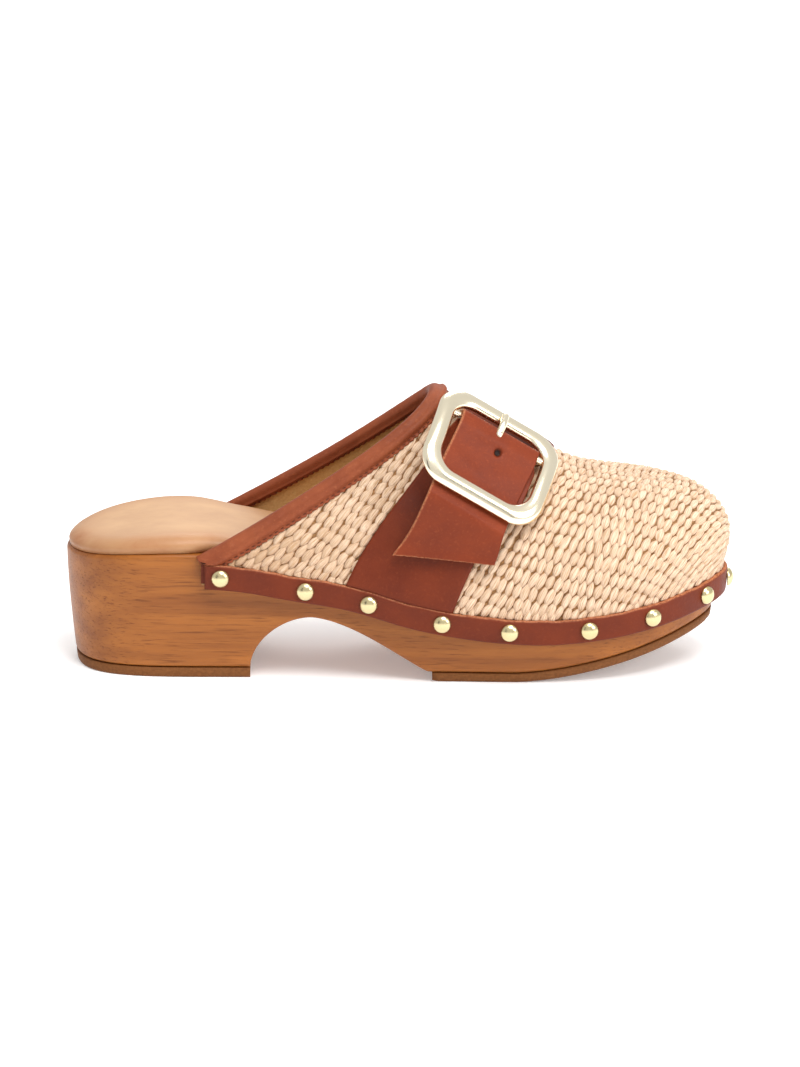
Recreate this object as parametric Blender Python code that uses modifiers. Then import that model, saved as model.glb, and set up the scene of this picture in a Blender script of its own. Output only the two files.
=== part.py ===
"""A raffia clog, right shoe: carved wooden sole, woven vamp, studded rand, collar binding, strap and buckle.

Metres, +Z up. X runs from heel to toe and -Y is the outer side. The origin is the middle of the heel's flat underside.
"""

import math
from collections import namedtuple

import bmesh
import bpy
import numpy as np
from mathutils import Vector

# Sole
SOLE_LENGTH = 0.244
BALL_WIDTH = 0.080
HEEL_HEIGHT = 0.0485
ARCH_HEIGHT = 0.0241
TOE_SPRING = 0.016
EDGE_ROUND = 0.0012
LIFT_THICKNESS = 0.0038
OUTSOLE_THICKNESS = 0.0035
INSOLE_THICKNESS = 0.0048

# Upper, and what is nailed, sewn or laid on it
INSTEP_HEIGHT = 0.104
UPPER_WALL = 0.0020
RAND_HEIGHT = 0.0095
RAND_THICKNESS = 0.0020
RAND_BELOW_RIM = 0.0025
BINDING_WIDTH = 0.0085
BINDING_WALL = 0.0010
BINDING_PADDING = 0.0012
STRAP_WIDTH = 0.0370
STRAP_THICKNESS = 0.0018
STUD_DIAMETER = 0.0070
STUD_HEIGHT = 0.0024

# Buckle
BUCKLE_LENGTH = 0.0519
BUCKLE_HEIGHT = 0.0443
BUCKLE_BAR = 0.0066
BUCKLE_THICKNESS = 0.0044
BUCKLE_CORNER = 0.0115
WINDOW_CORNER = 0.0083
BUCKLE_BEND = 0.087
CENTRE_BAR_DIAMETER = 0.0026
PRONG_DIAMETER = 0.0028
TAB_WIDTH = 0.0330
TAB_THICKNESS = 0.0015
TAIL_LENGTH = 0.0222

BUCKLE_LIFT = 0.0098
BUCKLE_ANGLE = 0.95
BUCKLE_FORWARD = 0.170
BUCKLE_PITCH = 35.0
BUCKLE_ROLL = 37.3
BUCKLE_TURN = 5.1
BAR_UP = 0.0098
BAR_OUT = -0.0006
PRONG_ALONG = -0.0007
TAIL_SLANT = 0.0084
TAIL_FLARE = 0.0020
TAIL_FAN = 0.14
TAIL_SWING = 0.0009

CLEARANCE = 0.0003

# Places along the sole, as shares of its length
ORIGIN_ALONG = 0.1475
BREAST_ALONG = 0.283
ARCH_PEAK_ALONG = 0.377
ARCH_END_ALONG = 0.556
SPRING_ALONG = 0.690

# Half outline of the wooden sole from heel to toe, at its rim and at the floor. Along is a share of the length, the
# rest are shares of the ball width.
Station = namedtuple("Station", "along lateral medial base_along base_lateral base_medial")
STATIONS = (
    Station(0.000, 0.000, 0.000, 0.016, 0.000, 0.000),
    Station(0.031, 0.256, 0.256, 0.039, 0.234, 0.234),
    Station(0.102, 0.385, 0.385, 0.107, 0.341, 0.341),
    Station(0.197, 0.404, 0.400, 0.197, 0.363, 0.360),
    Station(0.295, 0.408, 0.383, 0.295, 0.366, 0.350),
    Station(0.398, 0.422, 0.368, 0.398, 0.385, 0.338),
    Station(0.500, 0.458, 0.390, 0.500, 0.425, 0.355),
    Station(0.602, 0.491, 0.450, 0.602, 0.438, 0.406),
    Station(0.705, 0.500, 0.498, 0.701, 0.450, 0.450),
    Station(0.803, 0.472, 0.500, 0.793, 0.425, 0.450),
    Station(0.889, 0.381, 0.448, 0.875, 0.340, 0.400),
    Station(0.960, 0.205, 0.300, 0.942, 0.180, 0.265),
    Station(1.000, -0.044, 0.044, 0.980, -0.041, 0.041),
)
TIP = len(STATIONS) - 1

# Height of the wooden rim, as a share of the heel height
Rim = namedtuple("Rim", "along height")
RIM = (
    Rim(0.000, 0.918),
    Rim(0.084, 0.979),
    Rim(0.205, 1.000),
    Rim(0.270, 0.975),
    Rim(0.344, 0.911),
    Rim(0.434, 0.841),
    Rim(0.545, 0.695),
    Rim(0.615, 0.635),
    Rim(0.676, 0.602),
    Rim(0.738, 0.588),
    Rim(0.820, 0.612),
    Rim(0.893, 0.660),
    Rim(0.963, 0.726),
    Rim(1.000, 0.767),
)

# Ribs of the vamp from the topline to the toe. Station counts rows of the outline. Crown gives where the rib meets the
# ridge, as shares of length and instep height. Fullness squares the section, swell pushes it out of the rim's line, as
# a share of the ball width, and wrap turns a slanted rib into one that rounds the toe.
Rib = namedtuple("Rib", "station crown_along crown_height fullness swell wrap")
RIBS = (
    Rib(3.1, 0.570, 0.998, 1.92, -0.044, 0.0),
    Rib(4.2, 0.609, 0.947, 1.98, -0.024, 0.0),
    Rib(5.4, 0.656, 0.888, 2.08, 0.000, 0.0),
    Rib(6.1, 0.686, 0.849, 2.12, 0.010, 0.0),
    Rib(6.9, 0.721, 0.804, 2.14, 0.016, 0.1),
    Rib(7.6, 0.754, 0.760, 2.20, 0.020, 0.3),
    Rib(8.4, 0.791, 0.720, 2.30, 0.024, 0.5),
    Rib(9.2, 0.826, 0.697, 2.50, 0.032, 0.7),
    Rib(10.0, 0.859, 0.683, 2.70, 0.040, 0.9),
    Rib(11.0, 0.893, 0.668, 2.75, 0.043, 1.0),
    Rib(12.0, 0.921, 0.655, 2.75, 0.043, 1.0),
)
TOPLINE = RIBS[0].station
RAND_START = 3.17
INNER_LAG = 0.25
INNER_LAG_REACH = 3.0

# Nails along the outer and inner side, as stations, with one more at the tip
STUD_STATIONS = (3.42, 4.72, 5.68, 6.78, 7.77, 8.98, 10.05, 11.18)

SKIN_OUT = CLEARANCE + UPPER_WALL
OUTER, INNER = -1, 1


def sewn(rows, x):
    """Smooth curve through the rows' first two columns, read at x."""
    table = np.array(rows, float)
    xs, ys = table[:, 0], table[:, 1]
    slopes = np.gradient(ys, xs)
    x = np.clip(x, xs[0], xs[-1])
    i = np.clip(np.searchsorted(xs, x, side="right") - 1, 0, len(xs) - 2)
    span = xs[i + 1] - xs[i]
    t = (x - xs[i]) / span
    start = ys[i] * (1 + 2 * t) * (1 - t) ** 2 + slopes[i] * span * t * (1 - t) ** 2
    return start + ys[i + 1] * t**2 * (3 - 2 * t) - slopes[i + 1] * span * t**2 * (1 - t)


def closed_outline():
    """Knots of the whole outline and their slopes: outer side from heel to toe, then the inner side back."""
    lateral = [(s.along, -s.lateral, s.base_along, -s.base_lateral) for s in STATIONS]
    medial = [(s.along, s.medial, s.base_along, s.base_medial) for s in STATIONS[1:-1]]
    knots = np.array(lateral + medial[::-1])
    knots *= (SOLE_LENGTH, BALL_WIDTH, SOLE_LENGTH, BALL_WIDTH)
    n = len(knots)
    ring = 4 * np.eye(n) + np.roll(np.eye(n), 1, axis=1) + np.roll(np.eye(n), -1, axis=1)
    slopes = np.linalg.solve(ring, 3 * (np.roll(knots, -1, axis=0) - np.roll(knots, 1, axis=0)))
    return knots, slopes


KNOTS, SLOPES = closed_outline()


def rim_height(x):
    return HEEL_HEIGHT * sewn(RIM, x / SOLE_LENGTH)


def rand_top(x):
    return rim_height(x) - RAND_BELOW_RIM


def spring_height(x):
    """How far the toe spring has lifted the tread at x."""
    share = np.clip((x / SOLE_LENGTH - SPRING_ALONG) / (1 - SPRING_ALONG), 0, 1)
    return TOE_SPRING * share**1.5


def underside(x):
    """Underside of the wood: heel seat, leaning breast, arch, then the forefoot over its outsole."""
    heel = LIFT_THICKNESS + CLEARANCE
    fore = OUTSOLE_THICKNESS + CLEARANCE
    along = x / SOLE_LENGTH
    back = np.clip((along - BREAST_ALONG) / (ARCH_PEAK_ALONG - BREAST_ALONG), 0, 1)
    front = np.clip((along - ARCH_PEAK_ALONG) / (ARCH_END_ALONG - ARCH_PEAK_ALONG), 0, 1)
    rise = (ARCH_HEIGHT - heel) * (1 - (1 - back) ** 1.8) ** (1 / 1.8)
    fall = (ARCH_HEIGHT - fore) * (1 - front**1.6) ** 1.15
    return np.where(along < ARCH_PEAK_ALONG, heel + rise, fore + fall + spring_height(x))


def side_point(station, height, out=0.0):
    """Point on the sole's side at a station, a height above the floor and a distance out of the wood."""
    station = np.asarray(station, float)
    n = len(KNOTS)
    i = np.floor(station).astype(int) % n
    t = (station - np.floor(station))[..., None]
    a, b, da, db = KNOTS[i], KNOTS[(i + 1) % n], SLOPES[i], SLOPES[(i + 1) % n]
    place = a * (1 + 2 * t) * (1 - t) ** 2 + da * t * (1 - t) ** 2 + b * t**2 * (3 - 2 * t) - db * t**2 * (1 - t)
    heading = 6 * (b - a) * t * (1 - t) + da * (1 - t) * (1 - 3 * t) + db * t * (3 * t - 2)
    rim = rim_height(place[..., 0])
    sink = np.clip((rim - height) / rim, 0, 1)[..., None] ** 1.6
    xy = place[..., :2] * (1 - sink) + place[..., 2:] * sink
    away = heading[..., [1, 0]] * (1, -1)
    away = away / np.linalg.norm(away, axis=-1, keepdims=True)
    xy = xy + away * np.asarray(out)[..., None]
    return np.concatenate([xy, np.broadcast_to(height, xy.shape[:-1])[..., None]], axis=-1)


def side_x(station):
    return side_point(station, HEEL_HEIGHT)[..., 0]


def station_at(x):
    """Station of the outer side whose rim lies at x."""
    fine = np.linspace(0, TIP, 600)
    return np.interp(x, side_x(fine), fine)


def inner_lag(station):
    """The inner side of the vamp starts further forward than the outer side, by this many stations."""
    left = np.clip(1 - (2 * TIP - station - TOPLINE) / INNER_LAG_REACH, 0, 1) ** 2
    return INNER_LAG * np.where(station > TIP, left, 0)


def skin(station, angle, out=0.0):
    """Outer face of the vamp. Angle runs from 0 at the rand's top edge to a quarter turn at the ridge."""
    station, angle = np.broadcast_arrays(np.asarray(station, float), np.asarray(angle, float))
    station = station - inner_lag(station) * np.cos(angle) ** 2
    outer = np.where(station > TIP, 2 * TIP - station, station)
    table = np.array(RIBS)
    crown_x, crown_z, fullness, swell, wrap = (
        sewn(table[:, [0, column]], outer) for column in range(1, table.shape[1])
    )
    x = side_x(station)
    foot = side_point(station, rand_top(x), SKIN_OUT)
    further = side_point(station, rand_top(x), SKIN_OUT + 0.001)
    away = (further - foot) / 0.001
    rise = np.sin(angle) ** (2 / fullness)
    spread = np.cos(angle) ** (2 / fullness)
    slant = (1 - rise) ** 1.18 * (1 - wrap) + spread * wrap
    crown_x = crown_x * SOLE_LENGTH
    crown_y = centre_line(crown_x)
    point = np.stack(
        [
            crown_x + (foot[..., 0] - crown_x) * slant,
            crown_y + (foot[..., 1] - crown_y) * spread,
            foot[..., 2] + (crown_z * INSTEP_HEIGHT - foot[..., 2]) * rise,
        ],
        axis=-1,
    )
    bulge = swell * BALL_WIDTH * np.clip(np.sin(math.pi * rise), 0, 1) ** 1.5
    point = point + away * (1, 1, 0) * bulge[..., None]
    if np.any(out):
        point = point + skin_normal(station, angle) * np.asarray(out)[..., None]
    return point


def centre_line(x):
    """The ridge swings towards the inner side at the toe."""
    return STATIONS[-1].medial * BALL_WIDTH * (x / SOLE_LENGTH) ** 2


def skin_normal(station, angle):
    """Outward normal of the vamp, the same on both sides of the ridge."""
    step = 0.01
    low = np.clip(angle, 0.02, math.pi / 2 - 0.02)
    along = skin(station + step, low) - skin(station - step, low)
    up = skin(station, low + step) - skin(station, low - step)
    normal = np.cross(along, up)
    normal[..., 1] *= np.where(angle > math.pi / 2 - 0.01, 0, 1)
    return normal / np.linalg.norm(normal, axis=-1, keepdims=True)


def material(name, colour, roughness, metallic=0.0):
    made = bpy.data.materials.new(name)
    made.use_nodes = True
    shader = made.node_tree.nodes["Principled BSDF"]
    shader.inputs["Base Color"].default_value = (*colour, 1)
    shader.inputs["Roughness"].default_value = roughness
    shader.inputs["Metallic"].default_value = metallic
    return made


def place_object(name, mesh, look, collection):
    mesh.materials.clear()
    mesh.materials.append(look)
    made = bpy.data.objects.new(name, mesh)
    collection.objects.link(made)
    return made


def mesh_of(name, points, faces, sharp=35, closed=True):
    """Mesh in the shoe's own frame from points measured from the heel's back."""
    points = np.asarray(points, float).reshape(-1, 3) - (ORIGIN_ALONG * SOLE_LENGTH, 0, 0)
    mesh = bpy.data.meshes.new(name)
    mesh.from_pydata(points.tolist(), [], faces)
    work = bmesh.new()
    work.from_mesh(mesh)
    bmesh.ops.remove_doubles(work, verts=work.verts, dist=1e-6)
    if closed:
        bmesh.ops.recalc_face_normals(work, faces=work.faces)
    work.to_mesh(mesh)
    work.free()
    mesh.shade_smooth()
    mesh.set_sharp_from_angle(angle=math.radians(sharp))
    return mesh


def grid_faces(rows, columns, close_columns=False, skip=()):
    """Quads of a grid of points, leaving out the cells named in skip."""
    last = columns if close_columns else columns - 1
    cells = [(r, c) for r in range(rows - 1) for c in range(last) if (r, c) not in skip]
    return [
        (r * columns + c, r * columns + (c + 1) % columns, (r + 1) * columns + (c + 1) % columns, (r + 1) * columns + c)
        for r, c in cells
    ]


def tube_faces(rings, around):
    """Faces of a row of closed rings with both ends capped."""
    last = (rings - 1) * around
    return grid_faces(rings, around, close_columns=True) + [
        tuple(range(around)),
        tuple(range(last + around - 1, last - 1, -1)),
    ]


def slab_mesh(name, stations, levels):
    """Closed body from outline rings, top ring first. The rungs between the two sides make its top and underside.

    Each level is a function from stations to points, and stations run along the outer side.
    """
    stations = np.asarray(stations, float)
    shared = (stations <= 0) | (stations >= TIP)
    back = (2 * TIP - stations)[~shared][::-1]
    around = np.concatenate([stations, back])
    n = len(around)
    rings = np.concatenate([level(around) for level in levels])
    left = list(range(len(stations)))
    right = []
    partner = n - 1
    for k in left:
        if shared[k]:
            right.append(k)
        else:
            right.append(partner)
            partner -= 1
    faces = grid_faces(len(levels), n, close_columns=True)
    for start in (0, (len(levels) - 1) * n):
        for a, b, c, d in zip(left, left[1:], right[1:], right):
            faces.append(tuple(start + k for k in dict.fromkeys((a, b, c, d))))
    return mesh_of(name, rings, faces)


def level_at(height, out=0.0):
    """Outline ring for slab_mesh, at a height given as a function of x."""

    def ring(station):
        x = side_x(station)
        for _ in range(3):
            x = side_point(station, height(x), out)[..., 0]
        return side_point(station, height(x), out)

    return ring


def wood_sole_mesh():
    arch = np.linspace(BREAST_ALONG, ARCH_END_ALONG, 24) * SOLE_LENGTH
    breast = (BREAST_ALONG + (ARCH_PEAK_ALONG - BREAST_ALONG) * np.array([0.02, 0.07, 0.14, 0.24])) * SOLE_LENGTH
    stations = np.concatenate(
        [
            np.linspace(0, 3, 13),
            [3.5],
            station_at(np.sort(np.concatenate([arch, breast]))),
            np.linspace(7.3, TIP, 20),
        ]
    )

    def between(share):
        return lambda x: rim_height(x) * (1 - share) + underside(x) * share

    levels = [
        level_at(rim_height, -EDGE_ROUND),
        level_at(lambda x: rim_height(x) - EDGE_ROUND),
        level_at(between(0.35)),
        level_at(between(0.65)),
        level_at(lambda x: underside(x) + EDGE_ROUND),
        level_at(underside, -EDGE_ROUND),
    ]
    return slab_mesh("wood_sole", stations, levels)


def heel_lift_mesh():
    stations = np.concatenate([np.linspace(0, 3, 13), [3.5, float(station_at(BREAST_ALONG * SOLE_LENGTH))]])
    levels = [
        level_at(lambda x: np.full_like(x, LIFT_THICKNESS)),
        level_at(lambda x: np.full_like(x, EDGE_ROUND / 2)),
        level_at(np.zeros_like, -EDGE_ROUND / 2),
    ]
    return slab_mesh("heel_lift", stations, levels)


def outsole_mesh():
    start = float(station_at((ARCH_END_ALONG + 0.006) * SOLE_LENGTH))
    stations = np.concatenate([[start, start + 0.12], np.linspace(start + 0.4, TIP, 22)])
    def lower(station):
        ends = np.isclose(station, start) | np.isclose(station, 2 * TIP - start)
        inwards = np.where(station < TIP, 1, -1) * 0.09
        return level_at(spring_height, -EDGE_ROUND / 2)(np.where(ends, station + inwards, station))

    levels = [
        level_at(lambda x: spring_height(x) + OUTSOLE_THICKNESS),
        level_at(lambda x: spring_height(x) + EDGE_ROUND / 2),
        lower,
    ]
    return slab_mesh("forefoot_outsole", stations, levels)


def insole_mesh():
    """Sits on the wood, drawn in where the vamp starts so that the binding clears it."""
    stations = np.concatenate([np.linspace(0, 3, 13), np.linspace(3.4, TIP, 26)])

    def inset(station):
        from_heel = np.where(station > TIP, 2 * TIP - station - INNER_LAG, station)
        share = np.clip((from_heel - 2.7) / 0.8, 0, 1)
        return 0.0008 + 0.0040 * share**2 * (3 - 2 * share)

    def level(share, more):
        def ring(station):
            x = side_x(station)
            place = side_point(station, rim_height(x), -inset(station) - more)
            top = rim_height(place[..., 0]) + CLEARANCE + INSOLE_THICKNESS * share
            return np.concatenate([place[..., :2], top[..., None]], axis=-1)

        return ring

    levels = [
        level(1.0, 0.0060),
        level(0.95, 0.0030),
        level(0.78, 0.0010),
        level(0.45, 0.0),
        level(0.0, 0.0004),
    ]
    return slab_mesh("insole", stations, levels)


def upper_mesh():
    ribs = np.concatenate([np.linspace(TOPLINE, 9, 20), np.linspace(9.3, TIP, 12)])
    ribs = np.concatenate([ribs, 2 * TIP - ribs[:-1][::-1]])
    angles = np.linspace(0, math.pi / 2, 13)
    arc = skin(ribs[:, None], angles[None, :])
    feet = ribs - inner_lag(ribs)
    low = side_point(feet, rand_top(side_x(feet)) - RAND_HEIGHT + 0.001, SKIN_OUT)
    points = np.concatenate([low[:, None], arc], axis=1)[:, ::-1]
    return mesh_of("upper", points, grid_faces(len(ribs), len(angles) + 1), closed=False)


def across_skin(station, angle):
    """Frame on the vamp for a line that runs up a rib: point, way towards the toe, and stations per metre that way."""
    step = 0.05
    up = skin(station, np.minimum(angle + 0.02, math.pi / 2)) - skin(station, np.maximum(angle - 0.02, 0))
    up = up / np.linalg.norm(up, axis=-1, keepdims=True)
    along = (skin(station + step, angle) - skin(station, angle)) / step
    along = along - up * np.sum(along * up, axis=-1, keepdims=True)
    speed = np.linalg.norm(along, axis=-1)
    return along / speed[..., None], 1 / speed


def both_sides(lateral):
    """Joins a run of rings up the outer side with its mirror down the inner side, the ridge's ring once."""
    outer = lateral(OUTER)
    inner = lateral(INNER)
    return np.concatenate([outer, inner[:-1][::-1]])


def side_station(station, side):
    return station if side == OUTER else 2 * TIP - station


def binding_mesh():
    """Padded channel over the topline's edge, drawn as a section swept along it."""
    wall = UPPER_WALL + CLEARANCE
    out, thick, pad = CLEARANCE, BINDING_WALL, BINDING_PADDING
    width = BINDING_WIDTH
    middle = -UPPER_WALL / 2
    roll = UPPER_WALL / 2 + CLEARANCE + BINDING_WALL + pad * 0.5
    section = [
        (width, out),
        (width, out + thick * 0.7),
        (width * 0.78, out + thick + pad * 0.6),
        (width * 0.42, out + thick + pad),
        (0.0008, middle + roll),
        (-roll * 0.6, middle + roll * 0.75),
        (-roll, middle),
        (-roll * 0.6, middle - roll * 0.75),
        (0.0008, middle - roll),
        (width * 0.42, -wall - thick - pad * 0.5),
        (width * 0.90, -wall - thick * 0.7),
        (width * 0.90, -wall),
        (-CLEARANCE, -wall),
        (-CLEARANCE, out),
    ]
    angles = np.linspace(0, math.pi / 2, 20)

    def rings(side):
        station = np.full_like(angles, TOPLINE)
        way, rate = across_skin(station, angles)
        way = way * (1, 1 if side == OUTER else -1, 1)
        made = []
        for across, out_of in section:
            on = np.maximum(across, 0)
            place = skin(side_station(station + on * rate, side), angles)
            normal = skin_normal(side_station(station + on * rate, side), angles)
            made.append(place + way * min(across, 0) + normal * out_of)
        return np.stack(made, axis=1)

    points = both_sides(rings)
    return mesh_of("collar_binding", points, tube_faces(len(points), len(section)), 60)


def rand_mesh():
    """Leather strip nailed round the vamp's foot, its long edges slightly eased."""
    ease = 0.0004
    inner = SKIN_OUT + CLEARANCE
    outer = inner + RAND_THICKNESS
    stations = np.concatenate([np.linspace(RAND_START, 9, 22), np.linspace(9.3, TIP, 12)])
    stations = np.concatenate([stations, 2 * TIP - stations[:-1][::-1]])
    stations = stations - inner_lag(stations)
    top = rand_top(side_x(stations))
    section = (
        (0.0, inner),
        (0.0, outer - ease),
        (ease, outer),
        (RAND_HEIGHT - ease, outer),
        (RAND_HEIGHT, outer - ease),
        (RAND_HEIGHT, inner),
    )
    points = np.stack([side_point(stations, top - down, out) for down, out in section], axis=1)
    return mesh_of("rand", points, tube_faces(len(points), len(section)))


def seat_cutter_mesh():
    """What lies below the rand's top edge and, inside the wall, below the wooden rim."""
    stations = np.linspace(0, TIP, 60)
    wall = CLEARANCE + UPPER_WALL / 2

    def step(rise, base, out):
        def ring(station):
            x = side_x(station)
            return side_point(station, base(x), out) + (0, 0, rise)

        return ring

    levels = [
        step(CLEARANCE, rim_height, -0.006),
        step(CLEARANCE, rim_height, wall - 0.0003),
        step(CLEARANCE, rand_top, wall + 0.0003),
        step(CLEARANCE, rand_top, 0.020),
        step(-0.030, rand_top, 0.020),
        step(-0.030, rand_top, -0.006),
    ]
    return slab_mesh("seat_cutter", stations, levels)


def strap_centre(angle):
    """Station of the strap's middle line, which bows back between the rand and the ridge."""
    share = angle / (math.pi / 2)
    return 6.13 - 1.8 * share + 1.6 * share**2


def strap_mesh():
    across = np.linspace(-1, 1, 5)
    angles = np.linspace(0, math.pi / 2, 15)

    def rings(side):
        centre = strap_centre(angles)
        _, rate = across_skin(centre, angles)
        rows = []
        for out in (CLEARANCE, CLEARANCE + STRAP_THICKNESS):
            station = centre[:, None] + across[None, :] * (rate * STRAP_WIDTH / 2)[:, None]
            sheet = skin(side_station(station, side), angles[:, None], np.full(station.shape, out))
            rows.append(sheet if out > CLEARANCE else sheet[:, ::-1])
        return np.concatenate(rows, axis=1)

    points = both_sides(rings)
    return mesh_of("strap", points, tube_faces(len(points), 2 * len(across)))


def buckle_frame_of_reference():
    """Middle of the buckle on its bent sheet, with the ways along the foot, up over the instep and out."""
    pitch, roll, turn = (math.radians(angle) for angle in (BUCKLE_PITCH, BUCKLE_ROLL, BUCKLE_TURN))
    along = np.array([math.cos(pitch), 0, -math.sin(pitch)])
    up = np.array([math.sin(pitch) * math.sin(roll), math.cos(roll), math.cos(pitch) * math.sin(roll)])
    out = np.cross(along, up)
    along, up = along * math.cos(turn) + up * math.sin(turn), up * math.cos(turn) - along * math.sin(turn)
    angle = np.array(BUCKLE_ANGLE)
    seat = strap_centre(angle) + BUCKLE_FORWARD
    return skin(seat, angle) + skin_normal(seat, angle) * BUCKLE_LIFT, along, up, out


def bent(along, up, out):
    """Point of the buckle's bent space: the sheet through its middle curves down round the instep."""
    middle, way_along, way_up, way_out = buckle_frame_of_reference()
    turn = np.asarray(up, float)[..., None] / BUCKLE_BEND
    reach = BUCKLE_BEND + np.asarray(out, float)[..., None]
    round_it = way_up * np.sin(turn) * reach + way_out * (np.cos(turn) * reach - BUCKLE_BEND)
    return middle + way_along * np.asarray(along, float)[..., None] + round_it


def rounded_path(half_length, half_height, corner, count):
    """Points of a rectangle with rounded corners, evenly turned, anticlockwise."""
    points = []
    for quarter in range(4):
        centre_a = (half_length - corner) * (1, -1, -1, 1)[quarter]
        centre_b = (half_height - corner) * (1, 1, -1, -1)[quarter]
        for turn in np.linspace(quarter, quarter + 1, count) * math.pi / 2:
            points.append((centre_a + corner * math.cos(turn), centre_b + corner * math.sin(turn)))
    return np.array(points)


def buckle_ring_mesh():
    """Cast frame: a domed section swept round a rounded rectangle, bent to the instep."""
    outline = rounded_path(BUCKLE_LENGTH / 2, BUCKLE_HEIGHT / 2, BUCKLE_CORNER, 8)
    inner = rounded_path(
        BUCKLE_LENGTH / 2 - BUCKLE_BAR, BUCKLE_HEIGHT / 2 - BUCKLE_BAR, WINDOW_CORNER, 8
    )
    half = BUCKLE_THICKNESS / 2
    section = ((0.0, -0.3), (0.12, -0.9), (0.88, -0.9), (1.0, -0.3), (0.93, 0.35), (0.72, 0.85), (0.42, 1.0), (0.1, 0.5))
    rings = []
    for share, rise in section:
        place = outline * (1 - share) + inner * share
        rings.append(bent(place[:, 0], place[:, 1], np.full(len(place), rise * half)))
    points = np.stack(rings, axis=1)
    rows, around = points.shape[:2]
    faces = grid_faces(rows + 1, around, close_columns=True)
    faces = [tuple(k % (rows * around) for k in face) for face in faces]
    return mesh_of("buckle_frame", points, faces, 50)


def rod_points(path, radius, around=8):
    """Rings round a path given in the buckle's bent space."""
    path = np.array(path)
    heading = np.gradient(path, axis=0)
    heading /= np.linalg.norm(heading, axis=1, keepdims=True)
    side = np.array((1.0, 0.0, 0.0)) if abs(heading[0, 0]) < 0.5 else np.array((0.0, 1.0, 0.0))
    rings = []
    for turn in np.arange(around) * 2 * math.pi / around:
        other = np.cross(heading, side)
        other /= np.linalg.norm(other, axis=1, keepdims=True)
        first = np.cross(other, heading)
        place = path + radius * (first * math.cos(turn) + other * math.sin(turn))
        rings.append(bent(place[:, 0], place[:, 1], place[:, 2]))
    return np.stack(rings, axis=1)


def centre_bar_mesh():
    """Round bar across the window, its ends sunk in the frame."""
    reach = BUCKLE_LENGTH / 2 - BUCKLE_BAR * 0.6
    path = [(a, BAR_UP, BAR_OUT) for a in np.linspace(-reach, reach, 7)]
    points = rod_points(path, CENTRE_BAR_DIAMETER / 2)
    return mesh_of("centre_bar", points, tube_faces(len(points), points.shape[1]))


def prong_mesh():
    """Prong: a hook round the centre bar, then a finger that rests on the inner slope of the frame's top bar."""
    radius = PRONG_DIAMETER / 2
    round_bar = CENTRE_BAR_DIAMETER / 2 + CLEARANCE + radius
    hook = [
        (PRONG_ALONG, BAR_UP + round_bar * math.sin(turn), BAR_OUT + round_bar * math.cos(turn))
        for turn in np.linspace(-0.45 * math.pi, -0.1, 5)
    ]
    rest = BUCKLE_HEIGHT / 2 - BUCKLE_BAR
    over = BUCKLE_THICKNESS * 0.43 + CLEARANCE + radius
    finger = [
        (PRONG_ALONG, BAR_UP + 0.0030, over),
        (PRONG_ALONG, rest - 0.0005, over),
        (PRONG_ALONG, rest + BUCKLE_BAR * 0.25, over),
    ]
    points = rod_points(hook + finger, radius)
    return mesh_of("buckle_prong", points, tube_faces(len(points), points.shape[1]))


def settled(points, least, pull):
    """Points moved square to the vamp: drawn by pull towards the height least above it, and never below that."""
    station = np.linspace(4.0, 9.0, 120)[:, None]
    angle = np.linspace(0.1, math.pi / 2, 100)[None, :]
    station, angle = np.broadcast_arrays(station, angle)
    face = skin(station, angle).reshape(-1, 3)
    facing = skin_normal(station, angle).reshape(-1, 3)
    flat = points.reshape(-1, 3)
    near = np.array([np.argmin(np.sum((face - point) ** 2, axis=1)) for point in flat])
    height = np.sum((flat - face[near]) * facing[near], axis=1).reshape(points.shape[:2])
    wanted = np.maximum(height * (1 - pull) + least * pull, least)
    return points + facing[near].reshape(points.shape) * (wanted - height)[..., None]


def tab_mesh():
    """Middle sheet of the folded tab: under layer, fold round the centre bar, front layer and the free tail.

    The fold has a slot for the prong. The under layer lies on the strap. The tail fans out to a slanted cut.
    """
    half = TAB_THICKNESS / 2
    fold = CENTRE_BAR_DIAMETER / 2 + CLEARANCE + half
    low_bar = -BUCKLE_HEIGHT / 2 + BUCKLE_BAR
    under_bar = -BUCKLE_THICKNESS * 0.45 - CLEARANCE - half
    path = [(share * low_bar, under_bar - TAB_THICKNESS) for share in (0.75, 0.45, 0.15, -0.15)]
    path += [
        (BAR_UP + fold * math.sin(turn), BAR_OUT - fold * math.cos(turn)) for turn in np.linspace(0, math.pi, 9)
    ]
    path += [
        (BAR_UP - 0.005, BAR_OUT + fold * 0.9),
        (BAR_UP * 0.2, BAR_OUT + fold * 0.40),
        (low_bar * 0.62, under_bar),
        (low_bar, under_bar),
        (low_bar - BUCKLE_BAR, under_bar),
        (low_bar - BUCKLE_BAR - 0.004, under_bar + 0.0006),
    ]
    last = path[-1]
    path += [(last[0] - TAIL_LENGTH * share, last[1] + TAIL_FLARE * share) for share in (0.25, 0.5, 0.75, 1.0)]
    pull = np.array([1.0, 1.0, 1.0, 0.75] + [0.0] * 15 + [0.35, 0.65, 0.85, 0.93])
    path = np.array(path)
    edge = TAB_WIDTH / 2
    slot = PRONG_DIAMETER / 2 + 2 * CLEARANCE
    across = np.array([-edge, -edge * 0.5, PRONG_ALONG - slot, PRONG_ALONG + slot, edge * 0.6, edge])
    reach = np.clip((last[0] - path[:, 0]) / TAIL_LENGTH, 0, 1)[:, None]
    slant = TAIL_SLANT * across[None, :] / edge * reach
    up = path[:, :1] + slant
    points = bent(across * (1 + TAIL_FAN * reach) - TAIL_SWING * reach, up, np.broadcast_to(path[:, 1:], up.shape))
    points = settled(points, STRAP_THICKNESS + 2 * CLEARANCE + half, pull[:, None])
    skip = {(row, 2) for row in range(7, 13)}
    return mesh_of("buckle_tab", points, grid_faces(len(path), len(across), skip=skip), 50, closed=False)


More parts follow.
